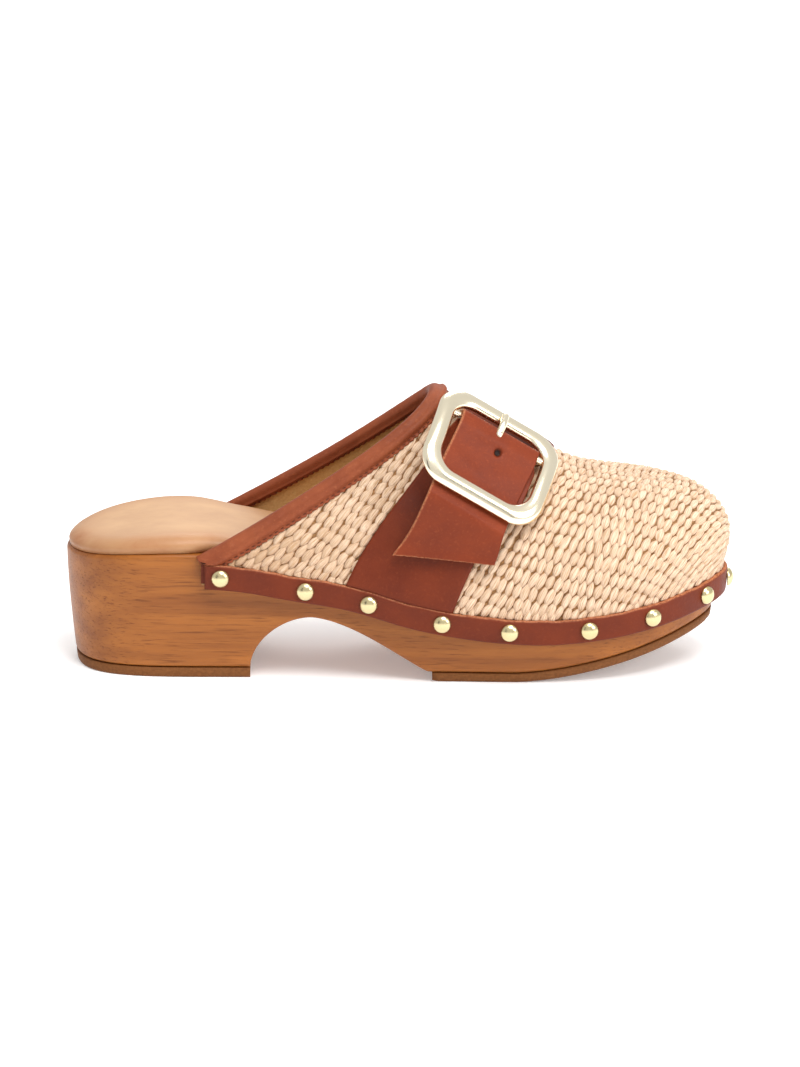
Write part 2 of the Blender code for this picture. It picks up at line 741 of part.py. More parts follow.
def stud_mesh():
    """Domed nail head, flat at the back."""
    work = bmesh.new()
    bmesh.ops.create_uvsphere(work, u_segments=12, v_segments=6, radius=STUD_DIAMETER / 2)
    low = [v for v in work.verts if v.co.z < -1e-6]
    bmesh.ops.delete(work, geom=low, context="VERTS")
    bmesh.ops.holes_fill(work, edges=[e for e in work.edges if e.is_boundary], sides=0)
    bmesh.ops.scale(work, vec=(1, 1, STUD_HEIGHT / (STUD_DIAMETER / 2)), verts=work.verts)
    bmesh.ops.recalc_face_normals(work, faces=work.faces)
    mesh = bpy.data.meshes.new("stud")
    work.to_mesh(mesh)
    work.free()
    mesh.shade_smooth()
    return mesh


def stud_seat(station):
    """Place and turn of a nail head on the middle of the rand, facing straight out."""
    station = np.array(float(station))
    station = station - inner_lag(station)
    height = rand_top(side_x(station)) - RAND_HEIGHT / 2
    out = SKIN_OUT + CLEARANCE + RAND_THICKNESS + CLEARANCE
    place = side_point(station, height, out)
    away = place - side_point(station, height, out - 0.001)
    facing = Vector(away).to_track_quat("Z", "Y").to_euler()
    return Vector(place - (ORIGIN_ALONG * SOLE_LENGTH, 0, 0)), facing


def main():
    for old in list(bpy.data.objects):
        bpy.data.objects.remove(old, do_unlink=True)
    clog = bpy.data.collections.new("raffia_clog")
    cutters = bpy.data.collections.new("cutters")
    bpy.context.scene.collection.children.link(clog)
    bpy.context.scene.collection.children.link(cutters)

    wood = material("honey_wood", (0.46, 0.19, 0.06), 0.45)
    rubber = material("brown_rubber", (0.25, 0.10, 0.03), 0.7)
    tan = material("tan_leather", (0.80, 0.44, 0.22), 0.5)
    raffia = material("raffia", (0.80, 0.60, 0.40), 0.7)
    leather = material("cognac_leather", (0.30, 0.07, 0.03), 0.45)
    gold = material("pale_gold", (0.90, 0.78, 0.50), 0.15, 1.0)

    place_object("wood_sole", wood_sole_mesh(), wood, clog)
    place_object("heel_lift", heel_lift_mesh(), rubber, clog)
    place_object("forefoot_outsole", outsole_mesh(), rubber, clog)
    place_object("insole", insole_mesh(), tan, clog)

    upper = place_object("upper", upper_mesh(), raffia, clog)
    shell = upper.modifiers.new("wall", "SOLIDIFY")
    shell.thickness = UPPER_WALL
    shell.offset = -1
    shell.use_even_offset = True

    seat = place_object("seat_cutter", seat_cutter_mesh(), leather, cutters)
    seat.hide_render = True
    seat.display_type = "WIRE"
    for name, mesh in (("collar_binding", binding_mesh()), ("strap", strap_mesh())):
        piece = place_object(name, mesh, leather, clog)
        cut = piece.modifiers.new("seat", "BOOLEAN")
        cut.operation = "DIFFERENCE"
        cut.object = seat
    place_object("rand", rand_mesh(), leather, clog)

    frame = place_object("buckle_frame", buckle_ring_mesh(), gold, clog)
    bar = place_object("centre_bar", centre_bar_mesh(), gold, cutters)
    bar.hide_render = True
    bar.display_type = "WIRE"
    joined = frame.modifiers.new("centre bar", "BOOLEAN")
    joined.operation = "UNION"
    joined.object = bar
    place_object("buckle_prong", prong_mesh(), gold, clog)
    tab = place_object("buckle_tab", tab_mesh(), leather, clog)
    thick = tab.modifiers.new("thickness", "SOLIDIFY")
    thick.thickness = TAB_THICKNESS
    thick.offset = 0
    thick.use_even_offset = True

    head = stud_mesh()
    stations = [(f"outer_{k + 1}", s) for k, s in enumerate(STUD_STATIONS)] + [("toe", TIP)]
    stations += [(f"inner_{k + 1}", 2 * TIP - s) for k, s in enumerate(STUD_STATIONS)]
    for label, station in stations:
        stud = place_object(f"stud_{label}", head, gold, clog)
        stud.location, stud.rotation_euler = stud_seat(station)


main()
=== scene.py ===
# Raffia clog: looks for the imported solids. Metres, X from heel to toe, -Y is the outer side of the right shoe.
import math
from collections import namedtuple

import bmesh
import bpy
import numpy as np
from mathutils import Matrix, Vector


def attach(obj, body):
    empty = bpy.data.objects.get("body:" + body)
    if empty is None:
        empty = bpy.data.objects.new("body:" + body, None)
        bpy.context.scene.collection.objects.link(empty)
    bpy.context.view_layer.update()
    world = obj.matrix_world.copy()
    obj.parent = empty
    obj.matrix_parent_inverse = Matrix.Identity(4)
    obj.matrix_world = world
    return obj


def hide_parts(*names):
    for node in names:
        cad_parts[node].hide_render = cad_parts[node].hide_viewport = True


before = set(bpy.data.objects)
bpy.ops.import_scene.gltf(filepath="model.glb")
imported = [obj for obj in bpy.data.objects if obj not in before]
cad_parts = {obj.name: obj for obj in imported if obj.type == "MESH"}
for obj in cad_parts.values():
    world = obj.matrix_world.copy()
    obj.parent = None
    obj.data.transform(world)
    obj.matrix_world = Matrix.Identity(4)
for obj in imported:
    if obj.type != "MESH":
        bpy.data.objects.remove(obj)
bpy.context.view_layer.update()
print("frame loaded:", len(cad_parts), "nodes")

mm = 0.001
halfTurn = math.pi
quarterTurn = math.pi / 2

# the last: the same named sizes as the solids
last = {
    "length": 0.244,
    "ballWidth": 0.080,
    "heelHeight": 0.0485,
    "archHeight": 0.0241,
    "toeSpring": 0.016,
    "instepHeight": 0.104,
    "originAlong": 0.1475,
    "breastAlong": 0.283,
    "archPeakAlong": 0.377,
    "archEndAlong": 0.556,
    "springAlong": 0.690,
}
sizes = {
    "gap": 0.3 * mm,
    "wall": 2.0 * mm,
    "lift": 3.8 * mm,
    "outsole": 3.5 * mm,
    "insole": 4.8 * mm,
    "randHeight": 9.5 * mm,
    "randThickness": 2.0 * mm,
    "randBelowRim": 2.5 * mm,
    "bindingWidth": 4.8 * mm,
    "bindingWall": 1.0 * mm,
    "bindingPadding": 1.2 * mm,
    "strapWidth": 37.0 * mm,
    "strapThickness": 1.8 * mm,
    "studDiameter": 7.0 * mm,
    "studHeight": 2.4 * mm,
}
buckle = {
    "length": 51.9 * mm,
    "height": 44.3 * mm,
    "bar": 6.6 * mm,
    "thickness": 4.4 * mm,
    "corner": 11.5 * mm,
    "windowCorner": 8.3 * mm,
    "bend": 87.0 * mm,
    "centreBar": 2.6 * mm,
    "prong": 2.8 * mm,
    "tabWidth": 33.0 * mm,
    "tabThickness": 1.5 * mm,
    "tailLength": 22.2 * mm,
    "tailSlant": 8.4 * mm,
    "tailFlare": 2.0 * mm,
    "tailFan": 0.14,
    "tailSwing": 0.9 * mm,
    "holeAcross": 1.6 * mm,
    "holeUp": 1.8 * mm,
    "holeRadius": 1.35 * mm,
    "lift": 9.8 * mm,
    "angle": 0.95,
    "forward": 0.17,
    "pitch": 35.0,
    "roll": 37.3,
    "turn": 5.1,
    "barUp": 9.8 * mm,
    "barOut": -0.6 * mm,
    "prongAlong": -0.7 * mm,
}

# half outline of the wood, heel to toe: along is a share of the length, the rest are shares of the ball width
Station = namedtuple("Station", "along lateral medial baseAlong baseLateral baseMedial")
stationRows = (
    Station(0.000, 0.000, 0.000, 0.016, 0.000, 0.000),
    Station(0.031, 0.256, 0.256, 0.039, 0.234, 0.234),
    Station(0.102, 0.385, 0.385, 0.107, 0.341, 0.341),
    Station(0.197, 0.404, 0.400, 0.197, 0.363, 0.360),
    Station(0.295, 0.408, 0.383, 0.295, 0.366, 0.350),
    Station(0.398, 0.422, 0.368, 0.398, 0.385, 0.338),
    Station(0.500, 0.458, 0.390, 0.500, 0.425, 0.355),
    Station(0.602, 0.491, 0.450, 0.602, 0.438, 0.406),
    Station(0.705, 0.500, 0.498, 0.701, 0.450, 0.450),
    Station(0.803, 0.472, 0.500, 0.793, 0.425, 0.450),
    Station(0.889, 0.381, 0.448, 0.875, 0.340, 0.400),
    Station(0.960, 0.205, 0.300, 0.942, 0.180, 0.265),
    Station(1.000, -0.044, 0.044, 0.980, -0.041, 0.041),
)
tip = len(stationRows) - 1

# height of the wooden rim, as a share of the heel height
rimRows = (
    (0.000, 0.918), (0.084, 0.979), (0.205, 1.000), (0.270, 0.975), (0.344, 0.911), (0.434, 0.841), (0.545, 0.695),
    (0.615, 0.635), (0.676, 0.602), (0.738, 0.588), (0.820, 0.612), (0.893, 0.660), (0.963, 0.726), (1.000, 0.767),
)

# ribs of the vamp from the topline to the toe
Rib = namedtuple("Rib", "station crownAlong crownHeight fullness swell wrap")
ribRows = (
    Rib(3.1, 0.570, 0.998, 1.92, -0.044, 0.0),
    Rib(4.2, 0.609, 0.947, 1.98, -0.024, 0.0),
    Rib(5.4, 0.656, 0.888, 2.08, 0.000, 0.0),
    Rib(6.1, 0.686, 0.849, 2.12, 0.010, 0.0),
    Rib(6.9, 0.721, 0.804, 2.14, 0.016, 0.1),
    Rib(7.6, 0.754, 0.760, 2.20, 0.020, 0.3),
    Rib(8.4, 0.791, 0.720, 2.30, 0.024, 0.5),
    Rib(9.2, 0.826, 0.697, 2.50, 0.032, 0.7),
    Rib(10.0, 0.859, 0.683, 2.70, 0.040, 0.9),
    Rib(11.0, 0.893, 0.668, 2.75, 0.043, 1.0),
    Rib(12.0, 0.921, 0.655, 2.75, 0.043, 1.0),
)
topline = ribRows[0].station
randStart = 3.17
innerLagStations = 0.25
innerLagReach = 3.0
studStations = (3.42, 4.72, 5.68, 6.78, 7.77, 8.98, 10.05, 11.18)
skinOut = sizes["gap"] + sizes["wall"]


# smooth curve through (x, y) rows, read at x
def sewn(rows, x):
    table = np.array(rows, float)
    xs, ys = table[:, 0], table[:, 1]
    slopes = np.gradient(ys, xs)
    x = np.clip(x, xs[0], xs[-1])
    i = np.clip(np.searchsorted(xs, x, side="right") - 1, 0, len(xs) - 2)
    span = xs[i + 1] - xs[i]
    t = (x - xs[i]) / span
    start = ys[i] * (1 + 2 * t) * (1 - t) ** 2 + slopes[i] * span * t * (1 - t) ** 2
    return start + ys[i + 1] * t**2 * (3 - 2 * t) - slopes[i + 1] * span * t**2 * (1 - t)


# knots of the closed outline and their slopes, from a periodic cubic spline
def closedOutline():
    lateral = [(s.along, -s.lateral, s.baseAlong, -s.baseLateral) for s in stationRows]
    medial = [(s.along, s.medial, s.baseAlong, s.baseMedial) for s in stationRows[1:-1]]
    knots = np.array(lateral + medial[::-1])
    knots *= (last["length"], last["ballWidth"], last["length"], last["ballWidth"])
    n = len(knots)
    ring = 4 * np.eye(n) + np.roll(np.eye(n), 1, axis=1) + np.roll(np.eye(n), -1, axis=1)
    slopes = np.linalg.solve(ring, 3 * (np.roll(knots, -1, axis=0) - np.roll(knots, 1, axis=0)))
    return knots, slopes


outlineKnots, outlineSlopes = closedOutline()


def rimHeight(x):
    return last["heelHeight"] * sewn(rimRows, x / last["length"])


def randTop(x):
    return rimHeight(x) - sizes["randBelowRim"]


def springHeight(x):
    share = np.clip((x / last["length"] - last["springAlong"]) / (1 - last["springAlong"]), 0, 1)
    return last["toeSpring"] * share**1.5


# underside of the wood: heel seat, leaning breast, arch, forefoot
def underside(x):
    heel = sizes["lift"] + sizes["gap"]
    fore = sizes["outsole"] + sizes["gap"]
    along = x / last["length"]
    back = np.clip((along - last["breastAlong"]) / (last["archPeakAlong"] - last["breastAlong"]), 0, 1)
    front = np.clip((along - last["archPeakAlong"]) / (last["archEndAlong"] - last["archPeakAlong"]), 0, 1)
    rise = (last["archHeight"] - heel) * (1 - (1 - back) ** 1.8) ** (1 / 1.8)
    fall = (last["archHeight"] - fore) * (1 - front**1.6) ** 1.15
    return np.where(along < last["archPeakAlong"], heel + rise, fore + fall + springHeight(x))


# point on the sole's side at a station, a height above the floor and a distance out of the wood
def sidePoint(station, height, out=0.0):
    station = np.asarray(station, float)
    n = len(outlineKnots)
    i = np.floor(station).astype(int) % n
    t = (station - np.floor(station))[..., None]
    a, b = outlineKnots[i], outlineKnots[(i + 1) % n]
    da, db = outlineSlopes[i], outlineSlopes[(i + 1) % n]
    place = a * (1 + 2 * t) * (1 - t) ** 2 + da * t * (1 - t) ** 2 + b * t**2 * (3 - 2 * t) - db * t**2 * (1 - t)
    heading = 6 * (b - a) * t * (1 - t) + da * (1 - t) * (1 - 3 * t) + db * t * (3 * t - 2)
    rim = rimHeight(place[..., 0])
    sink = np.clip((rim - height) / rim, 0, 1)[..., None] ** 1.6
    xy = place[..., :2] * (1 - sink) + place[..., 2:] * sink
    away = heading[..., [1, 0]] * (1, -1)
    away = away / np.linalg.norm(away, axis=-1, keepdims=True)
    xy = xy + away * np.asarray(out)[..., None]
    return np.concatenate([xy, np.broadcast_to(height, xy.shape[:-1])[..., None]], axis=-1)


def sideX(station):
    return sidePoint(station, last["heelHeight"])[..., 0]


def stationAt(x):
    fine = np.linspace(0, tip, 600)
    return np.interp(x, sideX(fine), fine)


# the inner side of the vamp starts further forward than the outer side
def innerLag(station):
    left = np.clip(1 - (2 * tip - station - topline) / innerLagReach, 0, 1) ** 2
    return innerLagStations * np.where(station > tip, left, 0)


def centreLine(x):
    return stationRows[-1].medial * last["ballWidth"] * (x / last["length"]) ** 2


# outer face of the vamp: a squared quarter ellipse from the rand's top edge, angle 0, to the ridge, a quarter turn.
# Past a quarter turn the point comes down the other side.
def skin(station, angle, out=0.0):
    station, angle = np.broadcast_arrays(np.asarray(station, float), np.asarray(angle, float))
    over = angle > quarterTurn
    station = np.where(over, 2 * tip - station, station)
    angle = np.clip(np.where(over, halfTurn - angle, angle), 0, quarterTurn)
    lagged = station - innerLag(station) * np.cos(angle) ** 2
    outer = np.where(lagged > tip, 2 * tip - lagged, lagged)
    table = np.array(ribRows)
    crownX, crownZ, fullness, swell, wrap = (sewn(table[:, [0, k]], outer) for k in range(1, table.shape[1]))
    x = sideX(lagged)
    foot = sidePoint(lagged, randTop(x), skinOut)
    away = (sidePoint(lagged, randTop(x), skinOut + mm) - foot) / mm
    rise = np.sin(angle) ** (2 / fullness)
    spread = np.cos(angle) ** (2 / fullness)
    slant = (1 - rise) ** 1.18 * (1 - wrap) + spread * wrap
    crownX = crownX * last["length"]
    crownY = centreLine(crownX)
    point = np.stack(
        [
            crownX + (foot[..., 0] - crownX) * slant,
            crownY + (foot[..., 1] - crownY) * spread,
            foot[..., 2] + (crownZ * last["instepHeight"] - foot[..., 2]) * rise,
        ],
        axis=-1,
    )
    bulge = swell * last["ballWidth"] * np.clip(np.sin(halfTurn * rise), 0, 1) ** 1.5
    point = point + away * (1, 1, 0) * bulge[..., None]
    if np.any(out):
        point = point + skinNormal(station, angle) * np.asarray(out)[..., None]
    return point


# outward normal of the vamp, from its slopes along both parameters
def skinNormal(station, angle):
    step = 0.01
    station, angle = np.broadcast_arrays(np.asarray(station, float), np.asarray(angle, float))
    over = angle > quarterTurn
    station = np.where(over, 2 * tip - station, station)
    angle = np.where(over, halfTurn - angle, angle)
    low = np.clip(angle, 0.02, quarterTurn - 0.02)
    along = skin(station + step, low) - skin(station - step, low)
    up = skin(station, low + step) - skin(station, low - step)
    normal = np.cross(along, up)
    normal[..., 1] *= np.clip((quarterTurn - angle) / 0.06, 0, 1)
    return normal / np.linalg.norm(normal, axis=-1, keepdims=True)


def unit(vectors):
    return vectors / np.linalg.norm(vectors, axis=-1, keepdims=True)


# quads of a grid of points, rows first, as whole index arrays
def gridQuads(rows, columns, closeRows=False, closeColumns=False):
    r = np.arange(rows if closeRows else rows - 1)[:, None]
    c = np.arange(columns if closeColumns else columns - 1)[None, :]
    r2, c2 = (r + 1) % rows, (c + 1) % columns
    corners = [r * columns + c, r * columns + c2, r2 * columns + c2, r2 * columns + c]
    return np.stack(np.broadcast_arrays(*corners), axis=-1).reshape(-1, 4)


# faces of many equal grids of points that follow one another, each closed across its columns
def manyGrids(total, rows, columns):
    block = gridQuads(rows, columns, closeColumns=True)
    return (np.arange(total)[:, None, None] * (rows * columns) + block[None]).reshape(-1, 4)


# one object from points measured from the heel's back; doubles are merged and faces turned outwards
def makePiece(name, points, faces, looks, stands=(), look=None, uv=None, tones=None, merge=True):
    points = np.asarray(points, float).reshape(-1, 3) - (last["originAlong"] * last["length"], 0, 0)
    faces = [tuple(face) for face in (faces.tolist() if isinstance(faces, np.ndarray) else faces)]
    mesh = bpy.data.meshes.new(name)
    mesh.from_pydata(points.tolist(), [], faces)
    for material in looks:
        mesh.materials.append(material)
    if look is not None:
        mesh.polygons.foreach_set("material_index", np.asarray(look, np.int32))
    if uv is not None:
        layer = mesh.uv_layers.new(name="weave")
        corner = np.zeros(len(mesh.loops), np.int32)
        mesh.loops.foreach_get("vertex_index", corner)
        layer.data.foreach_set("uv", np.asarray(uv, np.float32).reshape(-1, 2)[corner].ravel())
    for label, values in (tones or {}).items():
        layer = mesh.attributes.new(label, "FLOAT", "POINT")
        layer.data.foreach_set("value", np.asarray(values, np.float32).ravel())
    work = bmesh.new()
    work.from_mesh(mesh)
    if merge:
        bmesh.ops.remove_doubles(work, verts=work.verts, dist=2e-6)
    bmesh.ops.recalc_face_normals(work, faces=work.faces)
    work.to_mesh(mesh)
    work.free()
    mesh.shade_smooth()
    piece = bpy.data.objects.new(name, mesh)
    bpy.context.scene.collection.objects.link(piece)
    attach(piece, "root")
    if stands:
        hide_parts(*stands)
    return piece


# materials

def srgb(red, green, blue):
    share = np.array([red, green, blue]) / 255
    return tuple(np.where(share <= 0.04045, share / 12.92, ((share + 0.055) / 1.055) ** 2.4).tolist()) + (1.0,)


def feed(tree, node, label, value):
    if isinstance(value, bpy.types.NodeSocket):
        tree.links.new(value, node.inputs[label])
    else:
        node.inputs[label].default_value = value


def addNode(tree, kind, inputs, **settings):
    node = tree.nodes.new(kind)
    for key, value in settings.items():
        setattr(node, key, value)
    for label, value in inputs.items():
        feed(tree, node, label, value)
    return node


def mixColour(tree, factor, first, second):
    return addNode(tree, "ShaderNodeMix", {0: factor, 6: first, 7: second}, data_type="RGBA").outputs[2]


# first * second + third
def blend(tree, first, second, third=0.0):
    return addNode(tree, "ShaderNodeMath", {0: first, 1: second, 2: third}, operation="MULTIPLY_ADD").outputs[0]


def shaderGroup(name, inputs, outputs):
    tree = bpy.data.node_groups.new(name, "ShaderNodeTree")
    kinds = {"color": "NodeSocketColor", "vector": "NodeSocketVector", "float": "NodeSocketFloat"}
    for label, kind in inputs:
        tree.interface.new_socket(label, in_out="INPUT", socket_type=kinds[kind])
    for label, kind in outputs:
        tree.interface.new_socket(label, in_out="OUTPUT", socket_type=kinds[kind])
    return tree, tree.nodes.new("NodeGroupInput").outputs, tree.nodes.new("NodeGroupOutput")


def addGroup(tree, group, inputs):
    node = tree.nodes.new("ShaderNodeGroup")
    node.node_tree = group
    for label, value in inputs.items():
        feed(tree, node, label, value)
    return node.outputs


# two colours mixed by stretched noise, which also lifts the face: noise(vector * stretch) from low to high
def mottleGroup():
    inputs = (
        ("Vector", "vector"), ("Stretch", "vector"), ("Detail", "float"), ("Fineness", "float"), ("Low", "float"),
        ("High", "float"), ("First Color", "color"), ("Second Color", "color"), ("Relief", "float"),
    )
    outputs = (("Base Color", "color"), ("Fac", "float"), ("Bump Height", "float"), ("Normal", "vector"))
    tree, given, end = shaderGroup("Mottled Surface", inputs, outputs)
    spread = addNode(tree, "ShaderNodeVectorMath", {0: given["Vector"], 1: given["Stretch"]}, operation="MULTIPLY")
    noise = addNode(
        tree,
        "ShaderNodeTexNoise",
        {"Vector": spread.outputs[0], "Scale": 1.0, "Detail": given["Detail"], "Roughness": given["Fineness"]},
    ).outputs["Fac"]
    ends = {"Value": noise, "From Min": given["Low"], "From Max": given["High"]}
    share = addNode(tree, "ShaderNodeMapRange", ends).outputs["Result"]
    raised = addNode(tree, "ShaderNodeBump", {"Height": noise, "Distance": given["Relief"]})
    feed(tree, end, "Base Color", mixColour(tree, share, given["First Color"], given["Second Color"]))
    feed(tree, end, "Fac", share)
    feed(tree, end, "Bump Height", noise)
    feed(tree, end, "Normal", raised.outputs["Normal"])
    return tree


mottleTree = mottleGroup()


def mottle(tree, stretch, first, second, low=0.3, high=0.7, relief=0.1 * mm, detail=3.0, fineness=0.6, vector=None):
    if vector is None:
        vector = tree.nodes.new("ShaderNodeTexCoord").outputs["Object"]
    given = {"Vector": vector, "Stretch": stretch, "Detail": detail, "Fineness": fineness, "Low": low, "High": high}
    given.update({"First Color": first, "Second Color": second, "Relief": relief})
    return addGroup(tree, mottleTree, given)


# leather: clouded tone, fine grain, and colours for raw edges (Raw) and for painted shade, near black, inside deep
# holes (the hole's share), both from 0 to 1
def leatherGroup():
    inputs = (
        ("Vector", "vector"), ("Deep Color", "color"), ("Warm Color", "color"), ("Pale Color", "color"),
        ("Raw Color", "color"), ("Grain", "vector"), ("Relief", "float"), ("Gloss", "float"), ("Raw", "float"),
        ("Hole Shade", "float"),
    )
    outputs = (("Base Color", "color"), ("Roughness", "float"), ("Normal", "vector"))
    tree, given, end = shaderGroup("Grained Leather", inputs, outputs)
    vector = given["Vector"]
    cloud = mottle(tree, (75, 75, 75), given["Deep Color"], given["Warm Color"], detail=4, vector=vector)
    fine = mottle(
        tree, given["Grain"], cloud["Base Color"], given["Pale Color"], 0.55, 0.85, given["Relief"], 4, vector=vector
    )
    nap = mottle(tree, (1500, 1500, 1500), (0, 0, 0, 1), (1, 1, 1, 1), 0.3, 0.6, vector=vector)
    worn = addNode(tree, "ShaderNodeMath", {0: given["Raw"], 1: nap["Fac"]}, operation="MULTIPLY").outputs[0]
    tinted = mixColour(tree, worn, fine["Base Color"], given["Raw Color"])
    feed(tree, end, "Base Color", mixColour(tree, given["Hole Shade"], tinted, (0.012, 0.004, 0.002, 1)))
    feed(tree, end, "Roughness", blend(tree, cloud["Fac"], 0.12, given["Gloss"]))
    feed(tree, end, "Normal", fine["Normal"])
    return tree


leatherTree = leatherGroup()


def newMaterial(name, roughness=0.5, metallic=0.0, coat=0.0, sheen=0.0, specular=0.5):
    made = bpy.data.materials.new(name)
    made.use_nodes = True
    shader = made.node_tree.nodes["Principled BSDF"]
    settings = {"Roughness": roughness, "Metallic": metallic, "Coat Weight": coat, "Coat Roughness": 0.25}
    settings.update({"Sheen Weight": sheen, "Specular IOR Level": specular})
    for label, value in settings.items():
        shader.inputs[label].default_value = value
    return made, made.node_tree, shader


def tone(tree, label):
    return addNode(tree, "ShaderNodeAttribute", {}, attribute_name=label).outputs["Fac"]


def leatherMaterial(name, deep, warm, pale, gloss=0.46, grain=900.0, relief=0.12 * mm):
    made, tree, shader = newMaterial(name, specular=0.2)
    given = {
        "Vector": tree.nodes.new("ShaderNodeTexCoord").outputs["Object"],
        "Deep Color": deep,
        "Warm Color": warm,
        "Pale Color": pale,
        "Raw Color": srgb(186, 118, 80),
        "Grain": (grain, grain, grain),
        "Relief": relief,
        "Gloss": gloss,
        "Raw": tone(tree, "raw"),
        "Hole Shade": tone(tree, "holeShade"),
    }
    mixed = addGroup(tree, leatherTree, given)
    for label in ("Base Color", "Roughness", "Normal"):
        feed(tree, shader, label, mixed[label])
    return made


# a material of one mottled surface
def mottledMaterial(name, stretch, first, second, low, high, relief, roughness, vector="Object", **more):
    made, tree, shader = newMaterial(name, roughness, **more)
    source = tree.nodes.new("ShaderNodeTexCoord").outputs[vector]
    surface = mottle(tree, stretch, first, second, low, high, relief, vector=source)
    feed(tree, shader, "Base Color", surface["Base Color"])
    feed(tree, shader, "Normal", surface["Normal"])
    return made


def raffiaMaterial():
    made, tree, shader = newMaterial("raffiaStrand", roughness=0.6, sheen=0.1, specular=0.35)
    # stitch colour: from the deep tone to the pale one, by painted shade towards the heel and by the stitches' own
    # random tone. The tuck colour is painted shade at the stitch ends
    base = mixColour(tree, tone(tree, "toneAndPaintedShade"), palette["raffiaShadedDeep"], palette["raffiaLitPale"])
    source = tree.nodes.new("ShaderNodeTexCoord").outputs["UV"]
    strand = mottle(tree, (1.2, 9.0, 1.0), palette["raffiaLine"], base, 0.36, 0.58, 0.3 * mm, vector=source)
    tucked = mixColour(tree, tone(tree, "tuckShade"), strand["Base Color"], palette["raffiaTuckShade"])
    feed(tree, shader, "Base Color", tucked)
    feed(tree, shader, "Normal", strand["Normal"])
    return made


def woodMaterial():
    made, tree, shader = newMaterial("honeyWood", coat=0.06, specular=0.3)
    wave = mottle(tree, (9, 120, 150), palette["woodDeep"], palette["woodPale"], detail=4, fineness=0.55)
    fine = mottle(tree, (60, 900, 1500), wave["Base Color"], palette["woodPore"], 0.54, 0.75, 0.12 * mm)
    feed(tree, shader, "Base Color", fine["Base Color"])
    feed(tree, shader, "Roughness", blend(tree, fine["Fac"], 0.2, 0.42))
    feed(tree, shader, "Normal", fine["Normal"])
    return made


def insoleMaterial():
    made, tree, shader = newMaterial("insoleLeather", coat=0.05, specular=0.3)
    cloud = mottle(tree, (45, 60, 60), palette["insoleDeep"], palette["insolePale"], detail=4)
    fine = mottle(tree, (300, 1300, 1300), cloud["Base Color"], cloud["Base Color"], relief=0.1 * mm)
    shares = {0: tone(tree, "edge"), 1: cloud["Fac"]}
    edge = addNode(tree, "ShaderNodeMath", shares, operation="MULTIPLY").outputs[0]
    feed(tree, shader, "Base Color", mixColour(tree, edge, fine["Base Color"], palette["insoleEdge"]))
    feed(tree, shader, "Roughness", blend(tree, cloud["Fac"], 0.15, 0.38))
    feed(tree, shader, "Normal", fine["Normal"])
    return made


palette = {
    # raffia: the deep colour is painted shade for the stitches towards the heel, and the pale one is their lit
    # colour in front. Both also give the stitches' own random tone. The tuck colour is painted shade at the stitch
    # ends
    "raffiaShadedDeep": srgb(180, 146, 114),
    "raffiaLitPale": srgb(230, 203, 176),
    "raffiaLine": srgb(180, 142, 104),
    "raffiaTuckShade": srgb(132, 94, 58),
    "woodDeep": srgb(128, 70, 23),
    "woodPale": srgb(164, 98, 37),
    "woodPore": srgb(106, 56, 17),
    "insoleDeep": srgb(176, 132, 92),
    "insolePale": srgb(196, 156, 116),
    "insoleEdge": srgb(150, 88, 46),
}
cognac = leatherMaterial("cognacLeather", srgb(95, 34, 13), srgb(109, 42, 17), srgb(121, 51, 24))
tabLeather = leatherMaterial("tabLeather", srgb(110, 41, 16), srgb(125, 50, 21), srgb(139, 61, 29))
bindingLeather = leatherMaterial(
    "bindingLeather", srgb(122, 58, 33), srgb(141, 72, 42), srgb(152, 84, 52), 0.5, 700.0
)
rawEdge = mottledMaterial(
    "rawLeatherEdge", (1500, 1500, 2600), srgb(140, 74, 44), srgb(196, 132, 92), 0.35, 0.7, 0.4 * mm, 0.85,
    specular=0.2,
)
raffia = raffiaMaterial()
ground = mottledMaterial(
    "raffiaGround", (500, 2200, 1200), srgb(96, 64, 38), srgb(168, 126, 84), 0.3, 0.7, 0.4 * mm, 0.9, specular=0.2
)
suede = mottledMaterial(
    "liningSuede", (1100, 1100, 1100), srgb(192, 142, 84), srgb(216, 172, 112), 0.2, 0.8, 0.25 * mm, 0.9,
    sheen=0.1, specular=0.2,
)
wood = woodMaterial()
insoleLeather = insoleMaterial()
gold = mottledMaterial(
    "paleGold", (60, 60, 60), srgb(246, 232, 200), srgb(252, 242, 218), 0.0, 1.0, 0.0, 0.2, metallic=1.0
)
brass = mottledMaterial(
    "nailBrass", (60, 60, 60), srgb(206, 190, 142), srgb(224, 210, 166), 0.0, 1.0, 0.0, 0.26, metallic=1.0
)
rubber = mottledMaterial(
    "brownRubber", (900, 900, 900), srgb(100, 58, 26), srgb(130, 82, 42), 0.2, 0.8, 0.1 * mm, 0.65, specular=0.2
)
thread = mottledMaterial(
    "brownThread", (2500, 2500, 2500), srgb(74, 34, 22), srgb(112, 58, 40), 0.2, 0.8, 0.1 * mm, 0.7, specular=0.2
)
print("materials made")


# closed body from outline rings, top ring first; the rungs between the two sides make its top and underside
def slabPiece(name, stations, levels, looks, stands, tones=None):
    stations = np.asarray(stations, float)
    shared = (stations <= 0) | (stations >= tip)
    back = (2 * tip - stations)[~shared][::-1]
    around = np.concatenate([stations, back])
    n = len(around)
    rings = np.concatenate([level(around) for level in levels])
    left = np.arange(len(stations))
    right = np.where(shared, left, 0)
    right[~shared] = n - 1 - np.arange(np.count_nonzero(~shared))
    faces = gridQuads(len(levels), n, closeColumns=True).tolist()
    for start in (0, (len(levels) - 1) * n):
        rungs = np.stack([left[:-1], left[1:], right[1:], right[:-1]], axis=-1) + start
        faces += [list(dict.fromkeys(rung)) for rung in rungs.tolist()]
    made = {label: np.concatenate([np.full(n, v) for v in values]) for label, values in (tones or {}).items()}
    return makePiece(name, rings, faces, looks, stands, tones=made)


